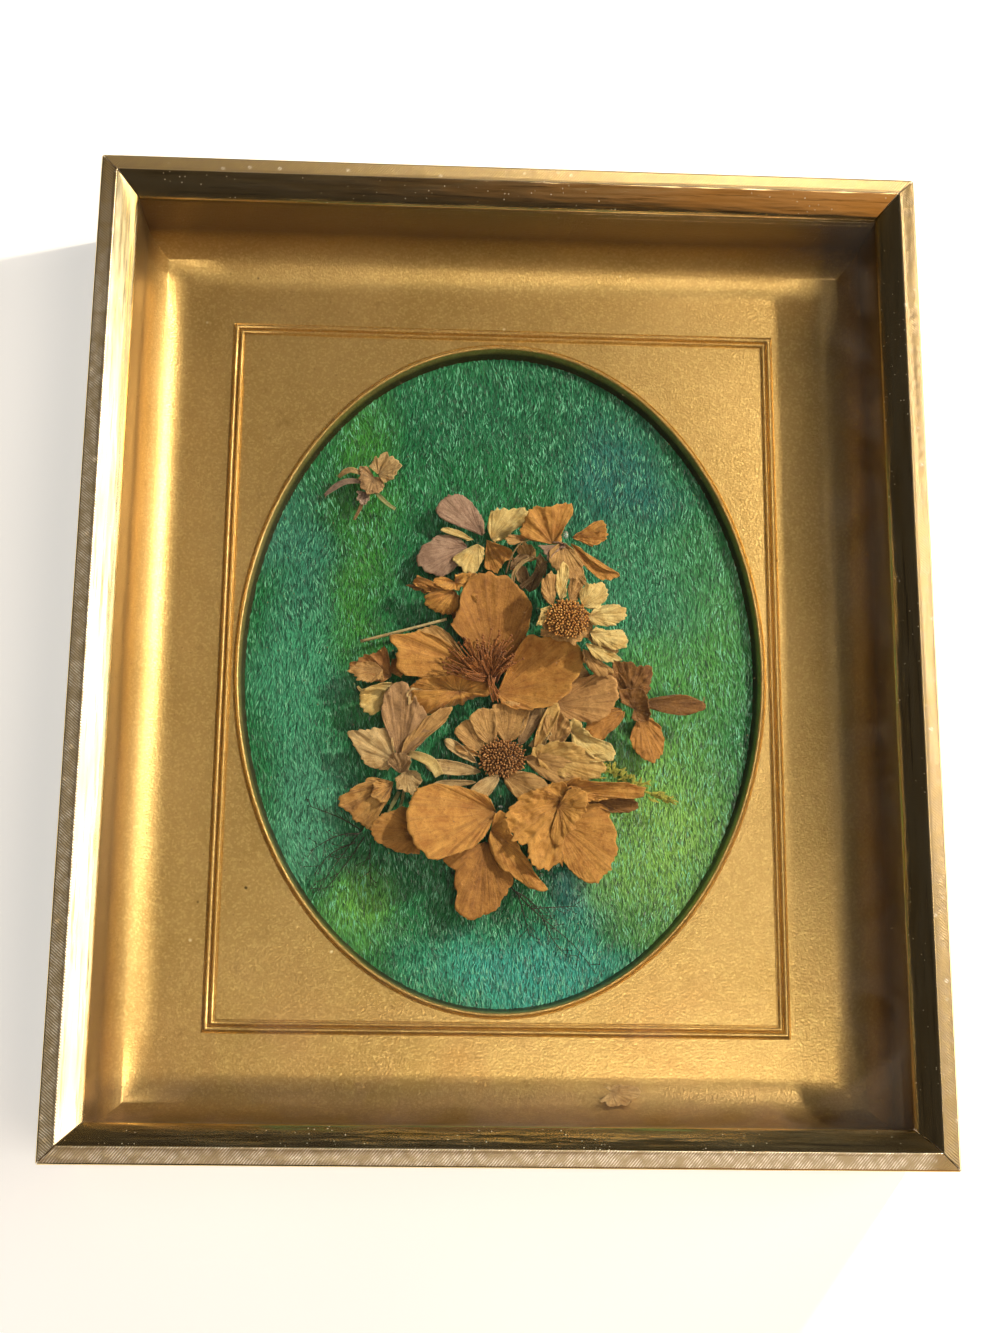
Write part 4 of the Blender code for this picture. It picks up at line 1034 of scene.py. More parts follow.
flower("yellow_petal_scrap", [cream], "yellow_petal", [
    petal((-35, -7, 7), [(-38, -6.5), (-42, -7.5), (-46, -9.5), (-46.8, -13), (-44.5, -17), (-42.5, -18),
        (-38, -14), (-35, -10)], (9, 9.5, 8, 8, 8), bow=0.8, crumple=0.7, ruffle=0.9),
    strip([(-36, -9, 9), (-41, -8.2, 10), (-46, -9.5, 9), (-47.5, -8, 8)], (1.5, 1.4, 0.6), trough=0.5)])
flower("hanging_mauve_petal", [dried_petal("dried_brown_mauve_petal", "#B68E5E", "#93704A", "#543A28")],
        "mauve_petal", [
    petal((-33, -33, 7), [(-36, -26), (-39, -19), (-39.5, -13), (-37.5, -8.5), (-33.5, -6), (-29.5, -8.5),
        (-27, -14), (-23.5, -18), (-22, -21.5), (-28, -29)], (9, 10.5, 11, 11, 10, 8), bow=0.8, crumple=0.8)])
pale_green = dried_petal("dried_pale_green_bract", "#A9A46B", "#7E8450", "#3F4526", lanes=8)
flower("side_floret_petals", [tan, pale_tan, brown, pale_green, cream], "side_floret", [
    petal((-33, -32, 7.5), [(-32, -27), (-28, -21.5), (-23, -17), (-18.5, -14.5), (-16.5, -15.5), (-19, -20),
        (-24, -24.5), (-29, -29)], (9, 10, 11, 10.5, 9), bow=1.0, cup=0.6),
    petal((-34.5, -33, 7), [(-36, -27), (-36.5, -22), (-43, -23), (-50, -23.5), (-48, -28), (-44.5, -33),
        (-42, -35.5), (-37, -36)], (9, 9, 10, 9, 8, 8), 1, pleats=4, pleat=0.45, bow=0.6),
    petal((-33, -37, 8), [(-37, -34), (-36, -31), (-33, -30), (-30, -32), (-30, -36)], (10, 11, 11, 10), 2,
        crumple=0.8, bow=0.8),
    petal((-31, -36, 7), [(-35, -39), (-33.5, -42), (-29, -43), (-26, -40), (-27.5, -36)], (8, 8, 8), 1,
        crumple=0.7),
    strip([(-33, -43, 5), (-34.5, -46, 4.5), (-36.5, -50, 4)], (1.2, 1.4, 0.6), 3),
    strip([(-31.5, -42, 5), (-32, -46, 5), (-33.5, -50, 4)], (1.0, 1.0, 0.5), 3),
    strip([(-30, -30.5, 10), (-26, -31.5, 11.5), (-22.5, -33.5, 11), (-20, -37.5, 10)], (2.2, 3.2, 3.6, 3.0),
        4, trough=0.5)])
flower("fan_petal_folds", [dried_petal("dried_veined_fan_petal", "#CDA059", "#B3803D", "#5A3418", lanes=15,
        streaks=0.85)], "fan_petal", [
    petal((-35, -40, 5), [(-39, -39), (-43, -38.8), (-48, -42.5), (-53, -45.5), (-51.5, -49), (-46, -53),
        (-42, -55.5), (-39, -50), (-36, -45)], (6, 6.5, 5.5, 5, 4.5, 5), pleats=5, pleat=0.5, bow=0.6,
        veins=0.3),
    petal((-35.5, -41, 6), [(-38, -39.5), (-40.5, -40), (-42, -44), (-38, -47), (-36, -45)], (8, 8, 7),
        pleats=2)])
flower("dark_amber_petal_shell", [dried_petal("dried_dark_amber_petal", "#BC8840", "#A0702E", "#5A3414")],
        "dark_amber_petal", [
    petal((-25, -56, 8), [(-26, -50), (-31, -48), (-35, -49.5), (-40, -51.5), (-42, -55), (-40.5, -59),
        (-35.5, -62), (-30, -63.5), (-26, -63)], (9, 11, 12, 11.5, 10, 9), bow=0.6, cup=0.5, ruffle=0.6)])

# %% [markdown]
# ### Brown daisy
# Long, flat rays of unequal length, broken off on one side, round a brown seed head.

# %% Brown daisy
flower("brown_daisy_petals", [tan, pale_tan, brown], "brown_daisy_rays", [
    ray((-6, -29, 6), (-13, -19.5, 8), 8, bow=0.4, blunt=0.95),
    ray((-3, -27, 6), (-7, -15, 9.5), 8.5, bow=0.4, blunt=1),
    ray((2, -26, 6), (3.5, -12.5, 9), 12, bow=0.5, blunt=1, crumple=0.6),
    ray((6, -27, 6), (12, -14.5, 8), 5, 2, bow=0.5),
    ray((-8, -33, 6.5), (-18.5, -25.5, 9), 3.6, 1, cup=0.8),
    ray((-7, -30.5, 6), (-15, -28, 9), 2.6, cup=0.6),
    ray((-6.5, -36, 6), (-24.5, -34, 8), 4.8, 1, cup=-0.7, crumple=0.5),
    ray((-8, -39.5, 5.5), (-22, -40.5, 7), 2.4, 1, cup=0.5),
    ray((-0.5, -37, 7.5), (-10, -45.5, 9), 5.8, 1, bow=0.8),
    ray((1, -37, 7), (15, -44, 9), 10, bow=1.4, crumple=0.5),
    ray((8, -31, 7), (27, -37, 10), 10, bow=1.4, crumple=0.6),
    petal((12, -23, 7), [(12, -14), (14, -14.5), (16.5, -18), (16, -24), (13, -28), (9, -27)], (8, 10, 9, 7),
        1, crumple=0.6)])
random.seed(31)
seed_head("brown_daisy_seed_head", (0.5, -31.5), 7.6, 6.4, 9.5, 210, brown_head, "brown_daisy_disc", lean=1.1)

# %% [markdown]
# ### Right-hand flowers
# A rust-coloured floret with one long ray, a round tan petal, and a crumpled
# yellow-tan floret sit between the daisies and the lower flower.

# %% Right-hand flowers
bright_rust = dried_petal("dried_bright_rust_petal", "#C48A3E", "#A06C2A", "#553212")
flower("rust_floret_petals", [rust, bright_rust], "rust_floret", [
    petal((43, -9, 9), [(38, -4), (37.5, 1), (40.5, 2.5), (45, 1.5), (49.5, 0.5), (50, -4), (48.5, -8),
        (46, -10)], (10, 12, 12, 11, 10), crumple=0.7, ruffle=0.8),
    ray((47, -12, 9), (68, -12.5, 11), 6.8, blunt=0.55, bow=0.8, crumple=0.5),
    petal((46, -16, 8), [(43.5, -21), (43, -25), (45.5, -29.5), (48, -32), (51, -31), (54, -26), (53.5, -21),
        (50, -17)], (9, 9, 8, 8, 9), 1, bow=1.0, ruffle=0.6),
    petal((44, -14, 9), [(40, -12), (40, -8.5), (44, -6.5), (48, -9), (49.5, -13), (47.5, -18), (43, -17.5)],
        (11, 12, 12, 11), crumple=1.0, ruffle=1.0),
    ray((41, -15, 8), (29.5, -22.5, 9), 6.5, 1, bow=0.8),
    ray((42, -10, 8), (37.5, -2, 11), 3.5, cup=0.8)])
flower("rust_floret_greenish_tip", [pale_green], None, [
    strip([(66, -12, 10), (67.2, -11, 10.5), (67.6, -9.3, 11)], (1.2, 0.7, 0.3))])
flower("round_tan_petal", [dried_petal("dried_round_tan_petal", "#C59658", "#AC7B42", "#613A1E")],
        "tan_petal", [
    petal((17, -13, 7), [(19, -8), (24, -4.5), (30, -3), (36, -2.8), (38.5, -7), (38, -12), (35, -16.5),
        (30.5, -19), (26, -18.5), (20, -17.5)], (9, 11, 12, 12, 11, 9), bow=1.2, ruffle=0.6, crumple=0.4),
    petal((29, -2, 6), [(25, 3), (24, 0), (22, -6), (27, -7), (31, -4)], (12, 10, 8, 9))])
flower("rust_petal_shell", [bright_rust], "rust_petal", [
    petal((40, -14, 8), [(35, -13), (30, -17), (27.5, -22), (29, -26), (33.5, -24.5), (38, -19), (40.5, -17)],
        (9, 9, 9, 8), bow=1.0)])
straw_yellow = dried_petal("dried_straw_yellow_petal", "#D9B36A", "#BF9248", "#7A5226")
flower("yellow_floret_petals", [straw_yellow, tan, cream], "yellow_floret", [
    ray((11, -28, 8), (18.5, -12.5, 11), 4.5, cup=0.8, crumple=0.7),
    petal((17, -27, 8), [(14, -22), (14.5, -18), (18, -16.5), (22, -17.5), (23, -22), (20, -27)],
        (10, 11, 10), 1, crumple=0.9),
    petal((12, -31, 8), [(9.5, -30), (11, -26.5), (17, -25.5), (24, -26), (29.5, -29), (34.5, -33.5),
        (33, -36.5), (27, -38.5), (19, -37), (13, -34)], (9, 11.5, 12.5, 11.5, 10, 9), bow=1.2, crumple=0.9),
    petal((23, -22, 9), [(22.5, -18.5), (26, -18), (28.5, -22), (31, -24), (37, -26.5), (36.5, -31),
        (33, -32), (27, -28), (23.5, -26)], (11, 12, 12, 12, 11), 2, crumple=1.0, bow=0.8),
    ray((25, -31, 9), (36, -30.5, 12.5), 2.6, 2, cup=0.8)])

# %% [markdown]
# ### Lower amber flower
# The lowest flower stands out from the velvet on its left, so it throws the largest
# shadow. Its petals are broad, with thin, torn and curled rims.

# %% Lower amber flower
flower("lower_petal_left", [amber], "lower_flower_petal_left", [
    petal((-1.5, -49, 10), [(-3, -45.5), (-6, -43), (-12, -41.5), (-20, -40.3), (-26, -42), (-29, -45),
        (-30.5, -50), (-30.3, -56), (-28, -60), (-24, -64.5), (-22, -65.3), (-15, -63.3), (-8, -60.5),
        (-3.5, -54.5)], (12, 14, 15, 17, 19, 20, 17, 13), bow=1.2, cup=0.6, ruffle=0.6, crumple=0.2,
        veins=0.2, rows=26, columns=80)])
flower("lower_petal_bottom", [shaded_amber], "lower_flower_petal_bottom", [
    petal((-4.5, -59, 8), [(-12, -62), (-18, -64.5), (-15.5, -69), (-13.8, -75), (-14, -80.5), (-10, -83.5),
        (-6, -83.5), (-2, -81.5), (1.5, -77), (4.5, -70.5), (2, -66), (-1, -62)], (9, 9, 9, 8.5, 8.5, 9, 9),
        bow=1.0, ruffle=0.5, crumple=0.3, veins=0.2, rows=22, columns=64)])
flower("curled_middle_petal", [amber], "lower_flower_petal_curled", [
    petal((-3, -55, 9.5), [(-2, -50), (0.5, -47.5), (1.8, -50.5), (2.5, -54.5), (6, -60.5), (9.5, -65.5),
        (12, -70), (15.5, -74), (11, -74), (6, -71.5), (1.5, -68.5), (-2.5, -63), (-4, -59)],
        (12, 13.5, 13, 12, 11.5, 11, 10), bow=1.0, cup=0.8, ruffle=0.7)])
flower("crumpled_petal_folds", [dried_petal("dried_crumpled_amber_petal", "#CC9746", "#B17B31", "#6A3F1A")],
        "lower_flower_petal_crumpled", [
    petal((21, -45, 9), [(27, -43), (26, -40), (20, -39.3), (14, -40.5), (8, -43.5), (3, -48.5), (1.5, -54),
        (4.5, -58), (8.5, -61), (10.5, -66), (13, -68), (17.5, -66.5), (20.5, -66.5), (18, -62), (19, -58),
        (23, -53), (27.5, -47)], (12, 14, 14.5, 14, 13, 12.5, 12, 12, 13), bow=1.5, crumple=1.6, ruffle=1.3,
        torn=1.8, pleats=3, pleat=0.9, rows=34, columns=120),
    petal((19, -47, 11), [(22, -41.5), (26.5, -41), (29, -45), (26.5, -50), (22, -56), (18.5, -60),
        (16, -57)], (13.5, 14.5, 14.5, 13.5, 12.5), bow=1.2, crumple=1.0)])
flower("lower_petal_right", [amber], "lower_flower_petal_right", [
    petal((18, -52, 7), [(16, -56), (17, -61), (20, -64.5), (24, -69), (28, -71.5), (33, -71), (36.5, -67),
        (38, -61), (37.8, -55), (35.5, -49), (33, -46), (26, -46), (21, -48)], (8, 8, 8.5, 9, 9.5, 9, 8),
        bow=1.4, ruffle=0.5, crumple=0.4, veins=0.2, rows=22, columns=64)])
flower("ragged_petal_edge", [amber, rust], "lower_flower_petal_ragged", [
    petal((20, -41.5, 9), [(21, -38.2), (26, -37.8), (32, -38.8), (40, -38.8), (44.5, -39.5), (47.5, -41),
        (45, -44), (39, -44), (31, -45), (25, -46)], (13, 14, 14, 13, 12, 11.5), bow=1.0, crumple=1.2,
        ruffle=1.2, torn=2.0, rows=16, columns=60),
    petal((24, -44, 8), [(30, -46.5), (36, -48.5), (42, -48.5), (45.5, -45.5), (42, -43), (34, -42)],
        (9.5, 9.5, 10), 1, crumple=0.5)])

# %% [markdown]
# ### Sprigs, frond and loose bits
# Two sprigs of dark grass have hair-thin branches with tiny seeds: a few drawn stems,
# with random twigs along them. A scrap of yellow-green moss, made of short strips, peeps
# out by the ragged petal. One small winged floret has come loose above, and a flake of
# petal has dropped into the cove of the liner.

# %% Grass sprigs
grass = dried_petal("dried_black_grass", "#3E3A2A", "#26251B", "#12130E", lanes=5)
random.seed(41)


def sprig(name, node, stems, twigs_each, twig_length, spread):
    """Stems with short side twigs that end in a seed. spread is the twigs' angle in degrees."""
    threads = []
    for stem in stems:
        line = evenly(bend_through(stem, 6), 24)
        threads.append(tube(stem, (0.24, 0.1), sides=5))
        for k in range(twigs_each):
            at = line[int(4 + 19 * (k + 0.5) / twigs_each)]
            ahead = line[-1] - line[0]
            turn = math.atan2(ahead[1], ahead[0])
            turn = turn + math.radians(random.choice((-1, 1)) * random.uniform(*spread))
            long = random.uniform(*twig_length)
            end = at + (long * math.cos(turn), long * math.sin(turn), random.uniform(-0.4, 0.8))
            threads.append(tube([at, (at + end) / 2 + (0, 0, 0.4), end], (0.12, 0.08), sides=4, steps=2))
            seed = [end, end + (0.5 * math.cos(turn), 0.5 * math.sin(turn), 0.1)]
            threads.append(tube(seed, (0.1, 0.3, 0.08), sides=5, steps=3))
    flower(name, [grass], node, threads, 0)


sprig("dark_sprig_bottom", "grass_sprig_bottom",
      [[(3, -73, 6), (12, -82, 5), (24, -92, 3), (31, -101, 2)],
       [(10, -80.5, 5), (17, -80, 4), (25, -79.5, 3)], [(6, -76, 5), (8, -83, 3.5), (10, -90, 2)],
       [(14, -83.5, 4.5), (17, -90, 3), (22, -96, 2)],
       [(5, -75, 5), (10, -78, 5), (16, -85, 4)]], 6, (1.5, 4), (25, 60))
sprig("dark_sprig_left", "grass_sprig_left",
      [[(-42, -52, 3), (-48, -60, 3), (-55, -70, 2.5), (-59, -77.5, 2)],
       [(-46, -57, 3), (-53, -58, 3), (-61.5, -63, 2.5)], [(-45, -56, 3), (-52, -52, 3), (-63, -48, 2.5)],
       [(-44, -58, 3), (-49, -66, 2.5), (-56.5, -76, 2)], [(-42, -60, 3), (-42, -67, 2.5), (-41.5, -74, 2)],
       [(-47, -60, 3), (-55, -64, 2.5), (-60, -71, 2)]], 6, (1.5, 5), (20, 65))

# %% Moss frond
random.seed(47)
moss = dried_petal("dried_yellow_green_moss", "#C6C04E", "#A3A43C", "#6B6B28", lanes=6, streaks=0.2,
                   base_stain=0.3)
fronds = []
for x, y, count in ((30, -36.5, 16), (35, -35, 22), (40, -37, 22), (45, -39.5, 18), (51, -43, 20),
                    (54, -44, 16)):
    for k in range(count):
        turn = math.radians(random.uniform(-25, 120) if x < 49 else random.uniform(-35, 50))
        start = (x + random.uniform(-2.5, 2.5), y + random.uniform(-1, 0.8), 9 + random.uniform(-1, 0.5))
        long = random.uniform(1.2, 3.2)
        end = (start[0] + long * math.cos(turn), start[1] + long * math.sin(turn),
               start[2] + random.uniform(-0.6, 1))
        middle = [(a + b) / 2 + random.uniform(-0.3, 0.3) for a, b in zip(start, end)]
        fronds.append(strip([start, middle, end], (0.4, 0.7, 0.25), trough=0.1, columns=3))
fronds.append(strip([(46, -41, 9), (50, -42.5, 8.5), (56, -44, 7.5)], (0.6, 0.9, 0.3), columns=3))
flower("moss_frond", [moss], "frond_tip", fronds, 0.12)

# %% Loose winged floret
flower("loose_winged_floret", [pale_tan, brown, dried_petal("dried_dull_mauve_bract", "#B39A84", "#8C7464",
        "#4C3B34"), pale_green], "loose_floret", [
    petal((-42.5, 66, 6), [(-44.5, 67.5), (-45.5, 69.5), (-41.5, 74), (-38, 72.5), (-35.8, 70.5),
        (-36.3, 66.5), (-38.5, 63.5), (-41, 63)], (7, 9, 10, 9, 7), bow=0.8, ruffle=0.6),
    petal((-44, 65, 5.5), [(-46, 68.5), (-49, 68.5), (-49.5, 64), (-47.5, 60), (-43, 59.5), (-41, 62),
        (-40.5, 65)], (7, 8, 7.5, 6), 1, crumple=0.8, bow=0.8),
    petal((-46.5, 59.5, 5), [(-49.5, 60), (-49.5, 56.5), (-47.5, 54.8), (-45.5, 56.5), (-45, 59.5)],
        (6, 6.5, 6), 2, crumple=0.7),
    strip([(-56, 64.5, 5), (-54, 66.5, 6.5), (-51.5, 67.3, 7.5), (-48, 66, 7)], (1.0, 1.9, 1.9, 1.2),
        trough=0.4),
    strip([(-60.5, 58, 4), (-56.5, 61.5, 5), (-53, 63.2, 6), (-48, 63.3, 6.5)], (0.8, 2.0, 2.0, 1.2), 2,
        trough=0.5),
    strip([(-47.5, 56, 5), (-48.7, 53, 4), (-50.3, 49.5, 3)], (1.4, 1.0, 0.7), 1, trough=0.3),
    strip([(-43.5, 59.8, 6), (-41, 57.2, 6), (-38.8, 55.2, 5), (-36.5, 53.7, 4.5)], (1.1, 1.5, 1.2, 1.0), 3,
        trough=0.3)])

# %% Flake in the cove
flake_low, flake_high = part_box("loose_flake")
x, y, z = (flake_low + flake_high) / 2 / MM
lift = z - CLOTH_TOP
flower("flake_in_the_cove", [pale_tan], "loose_flake", [
    petal((x - 3, y + 1, lift), [(x - 7, y - 2), (x - 2, y - 3.5), (x + 3, y - 2), (x + 6, y + 1.5),
        (x + 1, y + 3), (x - 5, y + 2)], (lift, lift - 0.2, lift + 0.4, lift + 0.2), crumple=0.3,
        ruffle=0.3)], 0.15)

# %% [markdown]
# ### Glue
# Each flower is held by clear glue. A few drops have squeezed out between the petals,
# and dried into small glossy domes that catch the lamp.

# %% Glue drops
dried_glue, tree, shader = new_material("clear_dried_glue")
haze = add_node(tree, "TexNoise", {"Vector": millimetres(tree), "Scale": 1.5, "Detail": 2})
haze = add_node(tree, "ValToRGB", {"Fac": haze}, [(0.3, "#E6EEF0"), (0.7, "#F8FBFB")])
set_inputs(tree, shader, {"Base Color": haze, "Roughness": 0.08, "Transmission Weight": 0.85, "IOR": 1.48})
RINGS, ROUND = 8, 14
drops = []
for x, y, lift, across, along in ((21.3, 46, 13.6, 1.0, 1.5), (0, -47.5, 6, 0.9, 0.6),
                                  (13.5, -69.5, 1.2, 0.8, 0.8), (35, -34, 8.5, 0.6, 0.5),
                                  (-33.5, -39, 6.5, 0.7, 0.5)):
    dome = [(x + across * math.sin(b) * math.cos(a), y + along * math.sin(b) * math.sin(a),
             lift + 0.8 * math.cos(b))
            for b in np.linspace(0.05, 2.6, RINGS)
            for a in np.linspace(0, 2 * math.pi, ROUND, endpoint=False)]
    drops.append((stand(dome), grid_faces(RINGS, ROUND, closed=True), np.zeros((RINGS * ROUND, 2)), 0))
flower("glue_drops", [dried_glue], None, drops, 0)


# %% [markdown]
# ## Wood, boards and fixings
# These solids already have the right shape, so they keep it and get a real finish. The
# rails' cores are sawn pine, matt, with brown streaks of grain. The boards are pressed
# from pulp, so they are matt too, with fibres one way and dark flecks. The points and the
# hanger are steel dipped in zinc, which leaves patches that shine differently.


# %% Finishes of the plain parts
def raw_pine(name):
    material, tree, shader = new_material(name)
    grain = add_node(tree, "TexNoise", {"Vector": millimetres(tree, (0.35, 0.35, 0.02)), "Scale": 1.0,
                                        "Detail": 5})
    rings = add_node(tree, "TexWave", {"Vector": millimetres(tree, (0.12, 0.12, 0.02)), "Scale": 1.0,
                                       "Distortion": 6.0, "Detail": 2})
    tone = add_node(tree, "ValToRGB", {"Fac": rings}, [(0.2, "#D9B98A"), (0.9, "#B98F5C")])
    share = add_node(tree, "MapRange", {"Value": grain, "From Min": 0.45, "From Max": 0.7, "To Max": 0.5})
    tone = add_node(tree, "Mix", {"Factor": share, "A": tone, "B": "#9A7243"}, data_type="RGBA")
    relief = add_node(tree, "Bump", {"Height": grain, "Strength": 0.4, "Distance": 0.0003})
    set_inputs(tree, shader, {"Base Color": tone, "Roughness": 0.7, "Normal": relief})
    return material


def pressed_card(name, light, dark, fleck):
    material, tree, shader = new_material(name)
    fibres = add_node(tree, "TexNoise", {"Vector": millimetres(tree, (0.9, 0.25, 1)), "Scale": 1.0,
                                         "Detail": 5})
    flecks = add_node(tree, "TexVoronoi", {"Vector": millimetres(tree), "Scale": 0.45})
    flecks = add_node(tree, "MapRange", {"Value": flecks, "From Min": 0.14, "From Max": 0.05, "To Max": 0.7})
    tone = add_node(tree, "ValToRGB", {"Fac": fibres}, [(0.35, dark), (0.65, light)])
    tone = add_node(tree, "Mix", {"Factor": flecks, "A": tone, "B": fleck}, data_type="RGBA")
    relief = add_node(tree, "Bump", {"Height": fibres, "Strength": 0.35, "Distance": 0.0002})
    set_inputs(tree, shader, {"Base Color": tone, "Roughness": 0.88, "Normal": relief})
    return material


def zinc_plated_steel(name):
    material, tree, shader = new_material(name)
    spangle = add_node(tree, "TexVoronoi", {"Vector": millimetres(tree), "Scale": 0.6})
    spangle = add_node(tree, "SeparateColor", {"Color": spangle.outputs["Color"]}).outputs["Green"]
    tone = add_node(tree, "ValToRGB", {"Fac": spangle}, [(0.1, "#A9ABAB"), (0.9, "#C6C8C7")])
    rough = add_node(tree, "MapRange", {"Value": spangle, "To Min": 0.28, "To Max": 0.45})
    set_inputs(tree, shader, {"Base Color": tone, "Roughness": rough, "Metallic": 1.0})
    return material


steel = zinc_plated_steel("zinc_plated_steel")
finishes = {"rail_core_": raw_pine("raw_sawn_pine"),
            "mounting_board": pressed_card("grey_chipboard", "#A5A39C", "#8E8C85", "#6A6862"),
            "back_board": pressed_card("brown_kraft_card", "#B08D5F", "#987549", "#6E5434"),
            "framers_point": steel, "sawtooth_hanger": steel, "hanger_rivet": steel}
dressed = [(solid, finish) for node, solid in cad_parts.items() for start, finish in finishes.items()
           if node.startswith(start)]
for solid, finish in dressed:
    if not solid.material_slots:
        solid.data.materials.append(finish)
    for slot in solid.material_slots:
        slot.material = finish
print("finishes on", len(dressed), "plain parts")

# %% [markdown]
# ## Glass
# Picture glass is float glass: IOR 1.5, clear, with a hair of green in its depth.
# Old dust and wiped smears lie on its front, mostly along the lower edge and at the
# right. The pane casts no shadow and is skipped by bounced light, because a renderer
# would otherwise block the lamps and leave the flowers in the dark.

# %% Glass pane
pane_low, pane_high = [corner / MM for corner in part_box("glass_pane")]
glass, tree, shader = new_material("clear_float_glass")
place = millimetres(tree)
smears = add_node(tree, "TexNoise", {"Vector": millimetres(tree, (0.03, 0.035, 1)), "Scale": 1.0, "Detail": 5,
                                     "Distortion": 1.2})
spot = add_node(tree, "SeparateXYZ", {"Vector": place})
toward_edge = add_node(tree, "MapRange", {"Value": spot.outputs["Y"], "From Min": -95, "From Max": -150})
toward_right = add_node(tree, "MapRange", {"Value": spot.outputs["X"], "From Min": 85, "From Max": 125,
                                           "To Max": 0.25})
where = add_node(tree, "Math", {0: toward_edge, 1: toward_right}, operation="MAXIMUM")
film = add_node(tree, "MapRange", {"Value": smears, "From Min": 0.48, "From Max": 0.75, "To Max": 0.08})
film = add_node(tree, "Math", {0: film, 1: where}, operation="MULTIPLY")
specks = add_node(tree, "TexVoronoi", {"Vector": place, "Scale": 0.22})
specks = add_node(tree, "MapRange", {"Value": specks, "From Min": 0.055, "From Max": 0.02, "To Max": 0.35})
film = add_node(tree, "Math", {0: film, 1: specks}, operation="MAXIMUM")
clear = add_node(tree, "MapRange", {"Value": film, "To Min": 1.0, "To Max": 0.0})
tint = add_node(tree, "ValToRGB", {"Fac": film}, [(0.0, "#FCFEFC"), (0.06, "#F0D6AC")])
set_inputs(tree, shader, {"Base Color": tint, "Transmission Weight": clear, "IOR": 1.5, "Roughness": 0.0})

BEVEL = 0.25
x, y, bottom, top = pane_high.x, pane_high.y, pane_low.z, pane_high.z
rings = [(x - BEVEL, y - BEVEL, bottom), (x, y, bottom + BEVEL), (x, y, top - BEVEL),
         (x - BEVEL, y - BEVEL, top)]
points = [(a * rx, b * ry, h) for rx, ry, h in rings for a, b in ((-1, -1), (1, -1), (1, 1), (-1, 1))]
faces = [tuple(reversed(range(4)))] + grid_faces(4, 4, closed=True) + [tuple(range(12, 16))]
pane = make_piece("picture_glass", points, faces, [glass], ["glass_pane"])
for polygon in pane.data.polygons:
    polygon.use_smooth = False
pane.visible_shadow = pane.visible_diffuse = False
print("pane", round(2 * x, 1), "by", round(2 * y, 1), "mm")

# %% [markdown]
# ## Floor, light and camera
# The frame lies on a pale floor. One small lamp stands to the upper right, so petals
# throw shadows to the left and down. A wide, weak light on the lower right stands for
# the room's bright side, and lifts the shadows.
#
# Brass shows its surroundings, so the world is a dim room with a few bright places: its
# colour depends on direction only, which any view may see. The floor is matt white
# paper, lit a little from itself, so that it stays pale beside the frame.

# %% Floor
floor = bpy.data.objects.new("floor", bpy.data.meshes.new("floor"))
REACH, BELOW = 3, -0.0005  # metres: the floor lies a hair under the frame
corners = [(x * REACH, y * REACH, BELOW) for x, y in ((-1, -1), (1, -1), (1, 1), (-1, 1))]
floor.data.from_pydata(corners, [], [(0, 1, 2, 3)])
bpy.context.scene.collection.objects.link(floor)
material, tree, shader = new_material("white_paper_floor")
paper = add_node(tree, "TexNoise", {"Vector": millimetres(tree), "Scale": 0.004, "Detail": 2})
paper = add_node(tree, "ValToRGB", {"Fac": paper}, [(0.3, "#F4F3F0"), (0.7, "#FBFAF7")])
set_inputs(tree, shader, {"Base Color": paper, "Roughness": 0.85, "Emission Color": paper,
                          "Emission Strength": 0.55})
floor.data.materials.append(material)
print("floor laid")

# %% Room
world = bpy.data.worlds.new("room")
world.use_nodes = True
bpy.context.scene.world = world
tree = world.node_tree
direction = add_node(tree, "TexCoord").outputs["Generated"]
level = add_node(tree, "SeparateXYZ", {"Vector": direction}).outputs["Z"]
room = add_node(tree, "ValToRGB", {"Fac": level}, [(0.0, "#8A8784"), (0.04, "#2E2A26"), (0.5, "#3A3632"),
                                                 (0.9, "#3C3A37")])
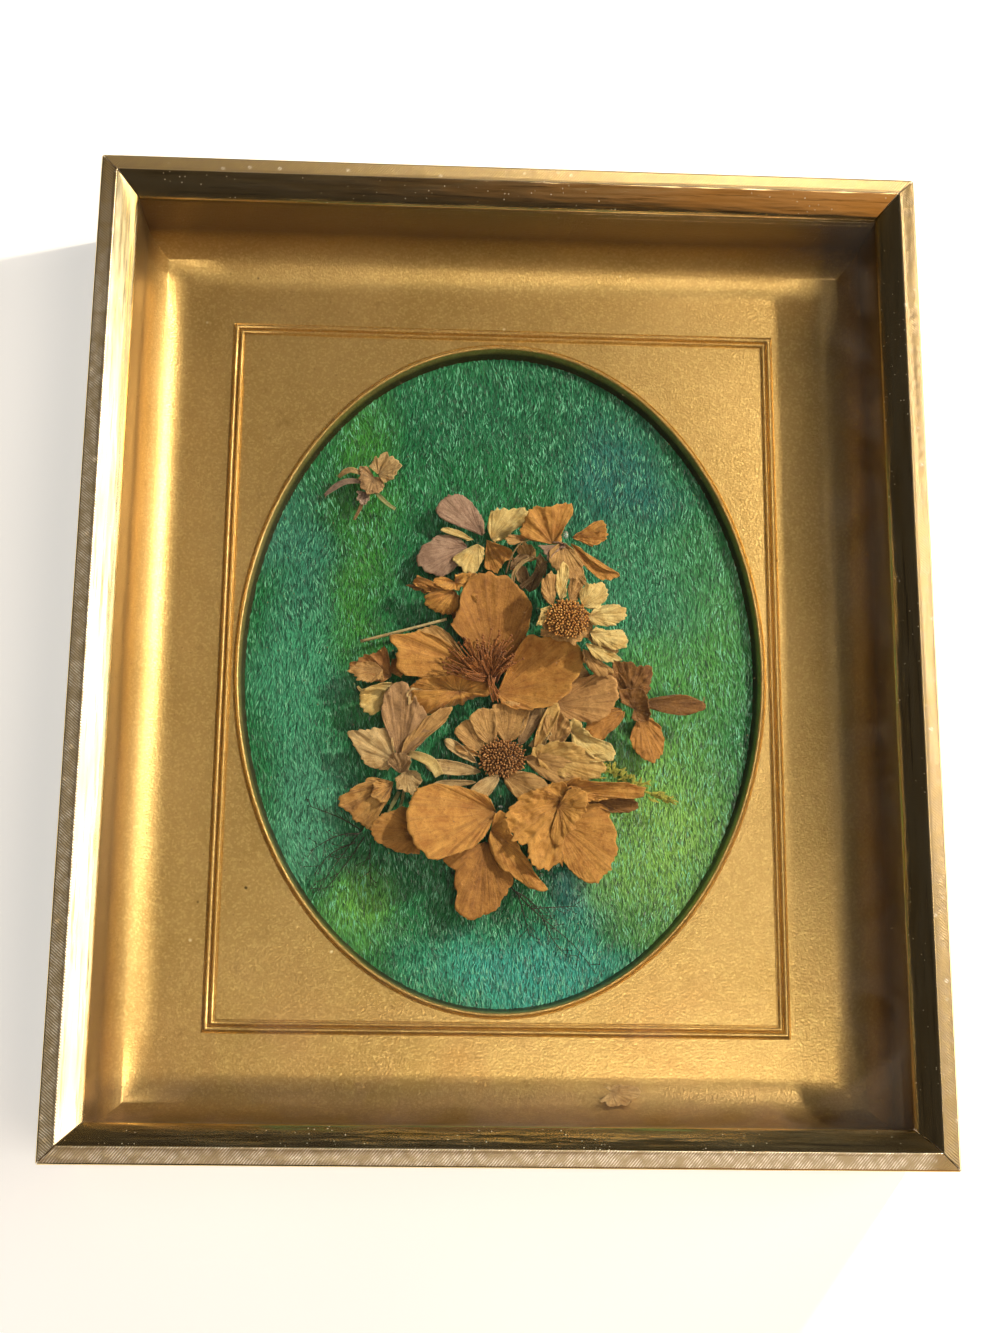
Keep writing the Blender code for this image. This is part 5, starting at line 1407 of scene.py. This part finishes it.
# (where it is, full within, gone beyond (degrees), how bright, colour)
bright_places = [((0.92, 0.10, 0.30), 14, 24, 3.8, "#FFF8EE"), ((0.52, -0.68, 0.50), 6, 33, 0.8, "#E9A55C"),
                 ((0.06, -0.15, 0.985), 4, 9, 4.5, "#FBF0DE"), ((0.62, -0.15, 0.78), 6, 20, 0.3, "#F6EDE0"),
                 ((-0.34, 0.14, 0.93), 4, 12, 1.7, "#F1E8DA"), ((0.1, 0.85, 0.52), 5, 18, 0.12, "#E8DCC8"),
                 ((0.47, 0.12, 0.87), 4, 12, 1.5, "#F4E6CC")]
for toward, within, beyond, strength, colour in bright_places:
    facing = add_node(tree, "VectorMath", {0: direction, 1: Vector(toward).normalized()},
                      operation="DOT_PRODUCT")
    share = add_node(tree, "MapRange", {"Value": facing.outputs["Value"],
                                        "From Min": math.cos(math.radians(beyond)),
                                        "From Max": math.cos(math.radians(within)), "To Max": strength},
                     interpolation_type="SMOOTHSTEP")
    glow = add_node(tree, "VectorMath", {0: linear(colour)[:3], "Scale": share}, operation="SCALE")
    room = add_node(tree, "VectorMath", {0: room, 1: glow}, operation="ADD")
set_inputs(tree, tree.nodes["Background"], {"Color": room, "Strength": 1.0})
print("room set")


# %% Lamps
def area_lamp(name, place, target, size, watts, colour):
    lamp = bpy.data.lights.new(name, "AREA")
    lamp.shape, lamp.size, lamp.energy = "DISK", size, watts
    lamp.color = linear(colour)[:3]
    holder = bpy.data.objects.new(name, lamp)
    holder.location = place
    holder.rotation_euler = (Vector(target) - Vector(place)).to_track_quat("-Z", "Y").to_euler()
    bpy.context.scene.collection.objects.link(holder)


area_lamp("lamp", (0.462, 0.300, 0.505), (0, 0, 0.015), 0.035, 5.2, "#FFF1DE")
area_lamp("bright_side", (0.21, -0.31, 0.78), (0.02, -0.05, 0.015), 0.27, 1.6, "#FFF2E0")
print("lamps:", len(bpy.data.lights))

# %% Camera
camera = bpy.data.objects.new("camera", bpy.data.cameras.new("camera"))
camera.data.lens = 49.95
camera.data.clip_start = 0.01
camera.location = (-0.02794, -0.14707, 0.61373)
camera.rotation_euler = [math.radians(a) for a in (13.786, -2.758, 0.515)]
bpy.context.scene.collection.objects.link(camera)
bpy.context.scene.camera = camera
bpy.context.scene.view_settings.view_transform = "Standard"
print("camera", round(camera.location.z / MM), "mm up")
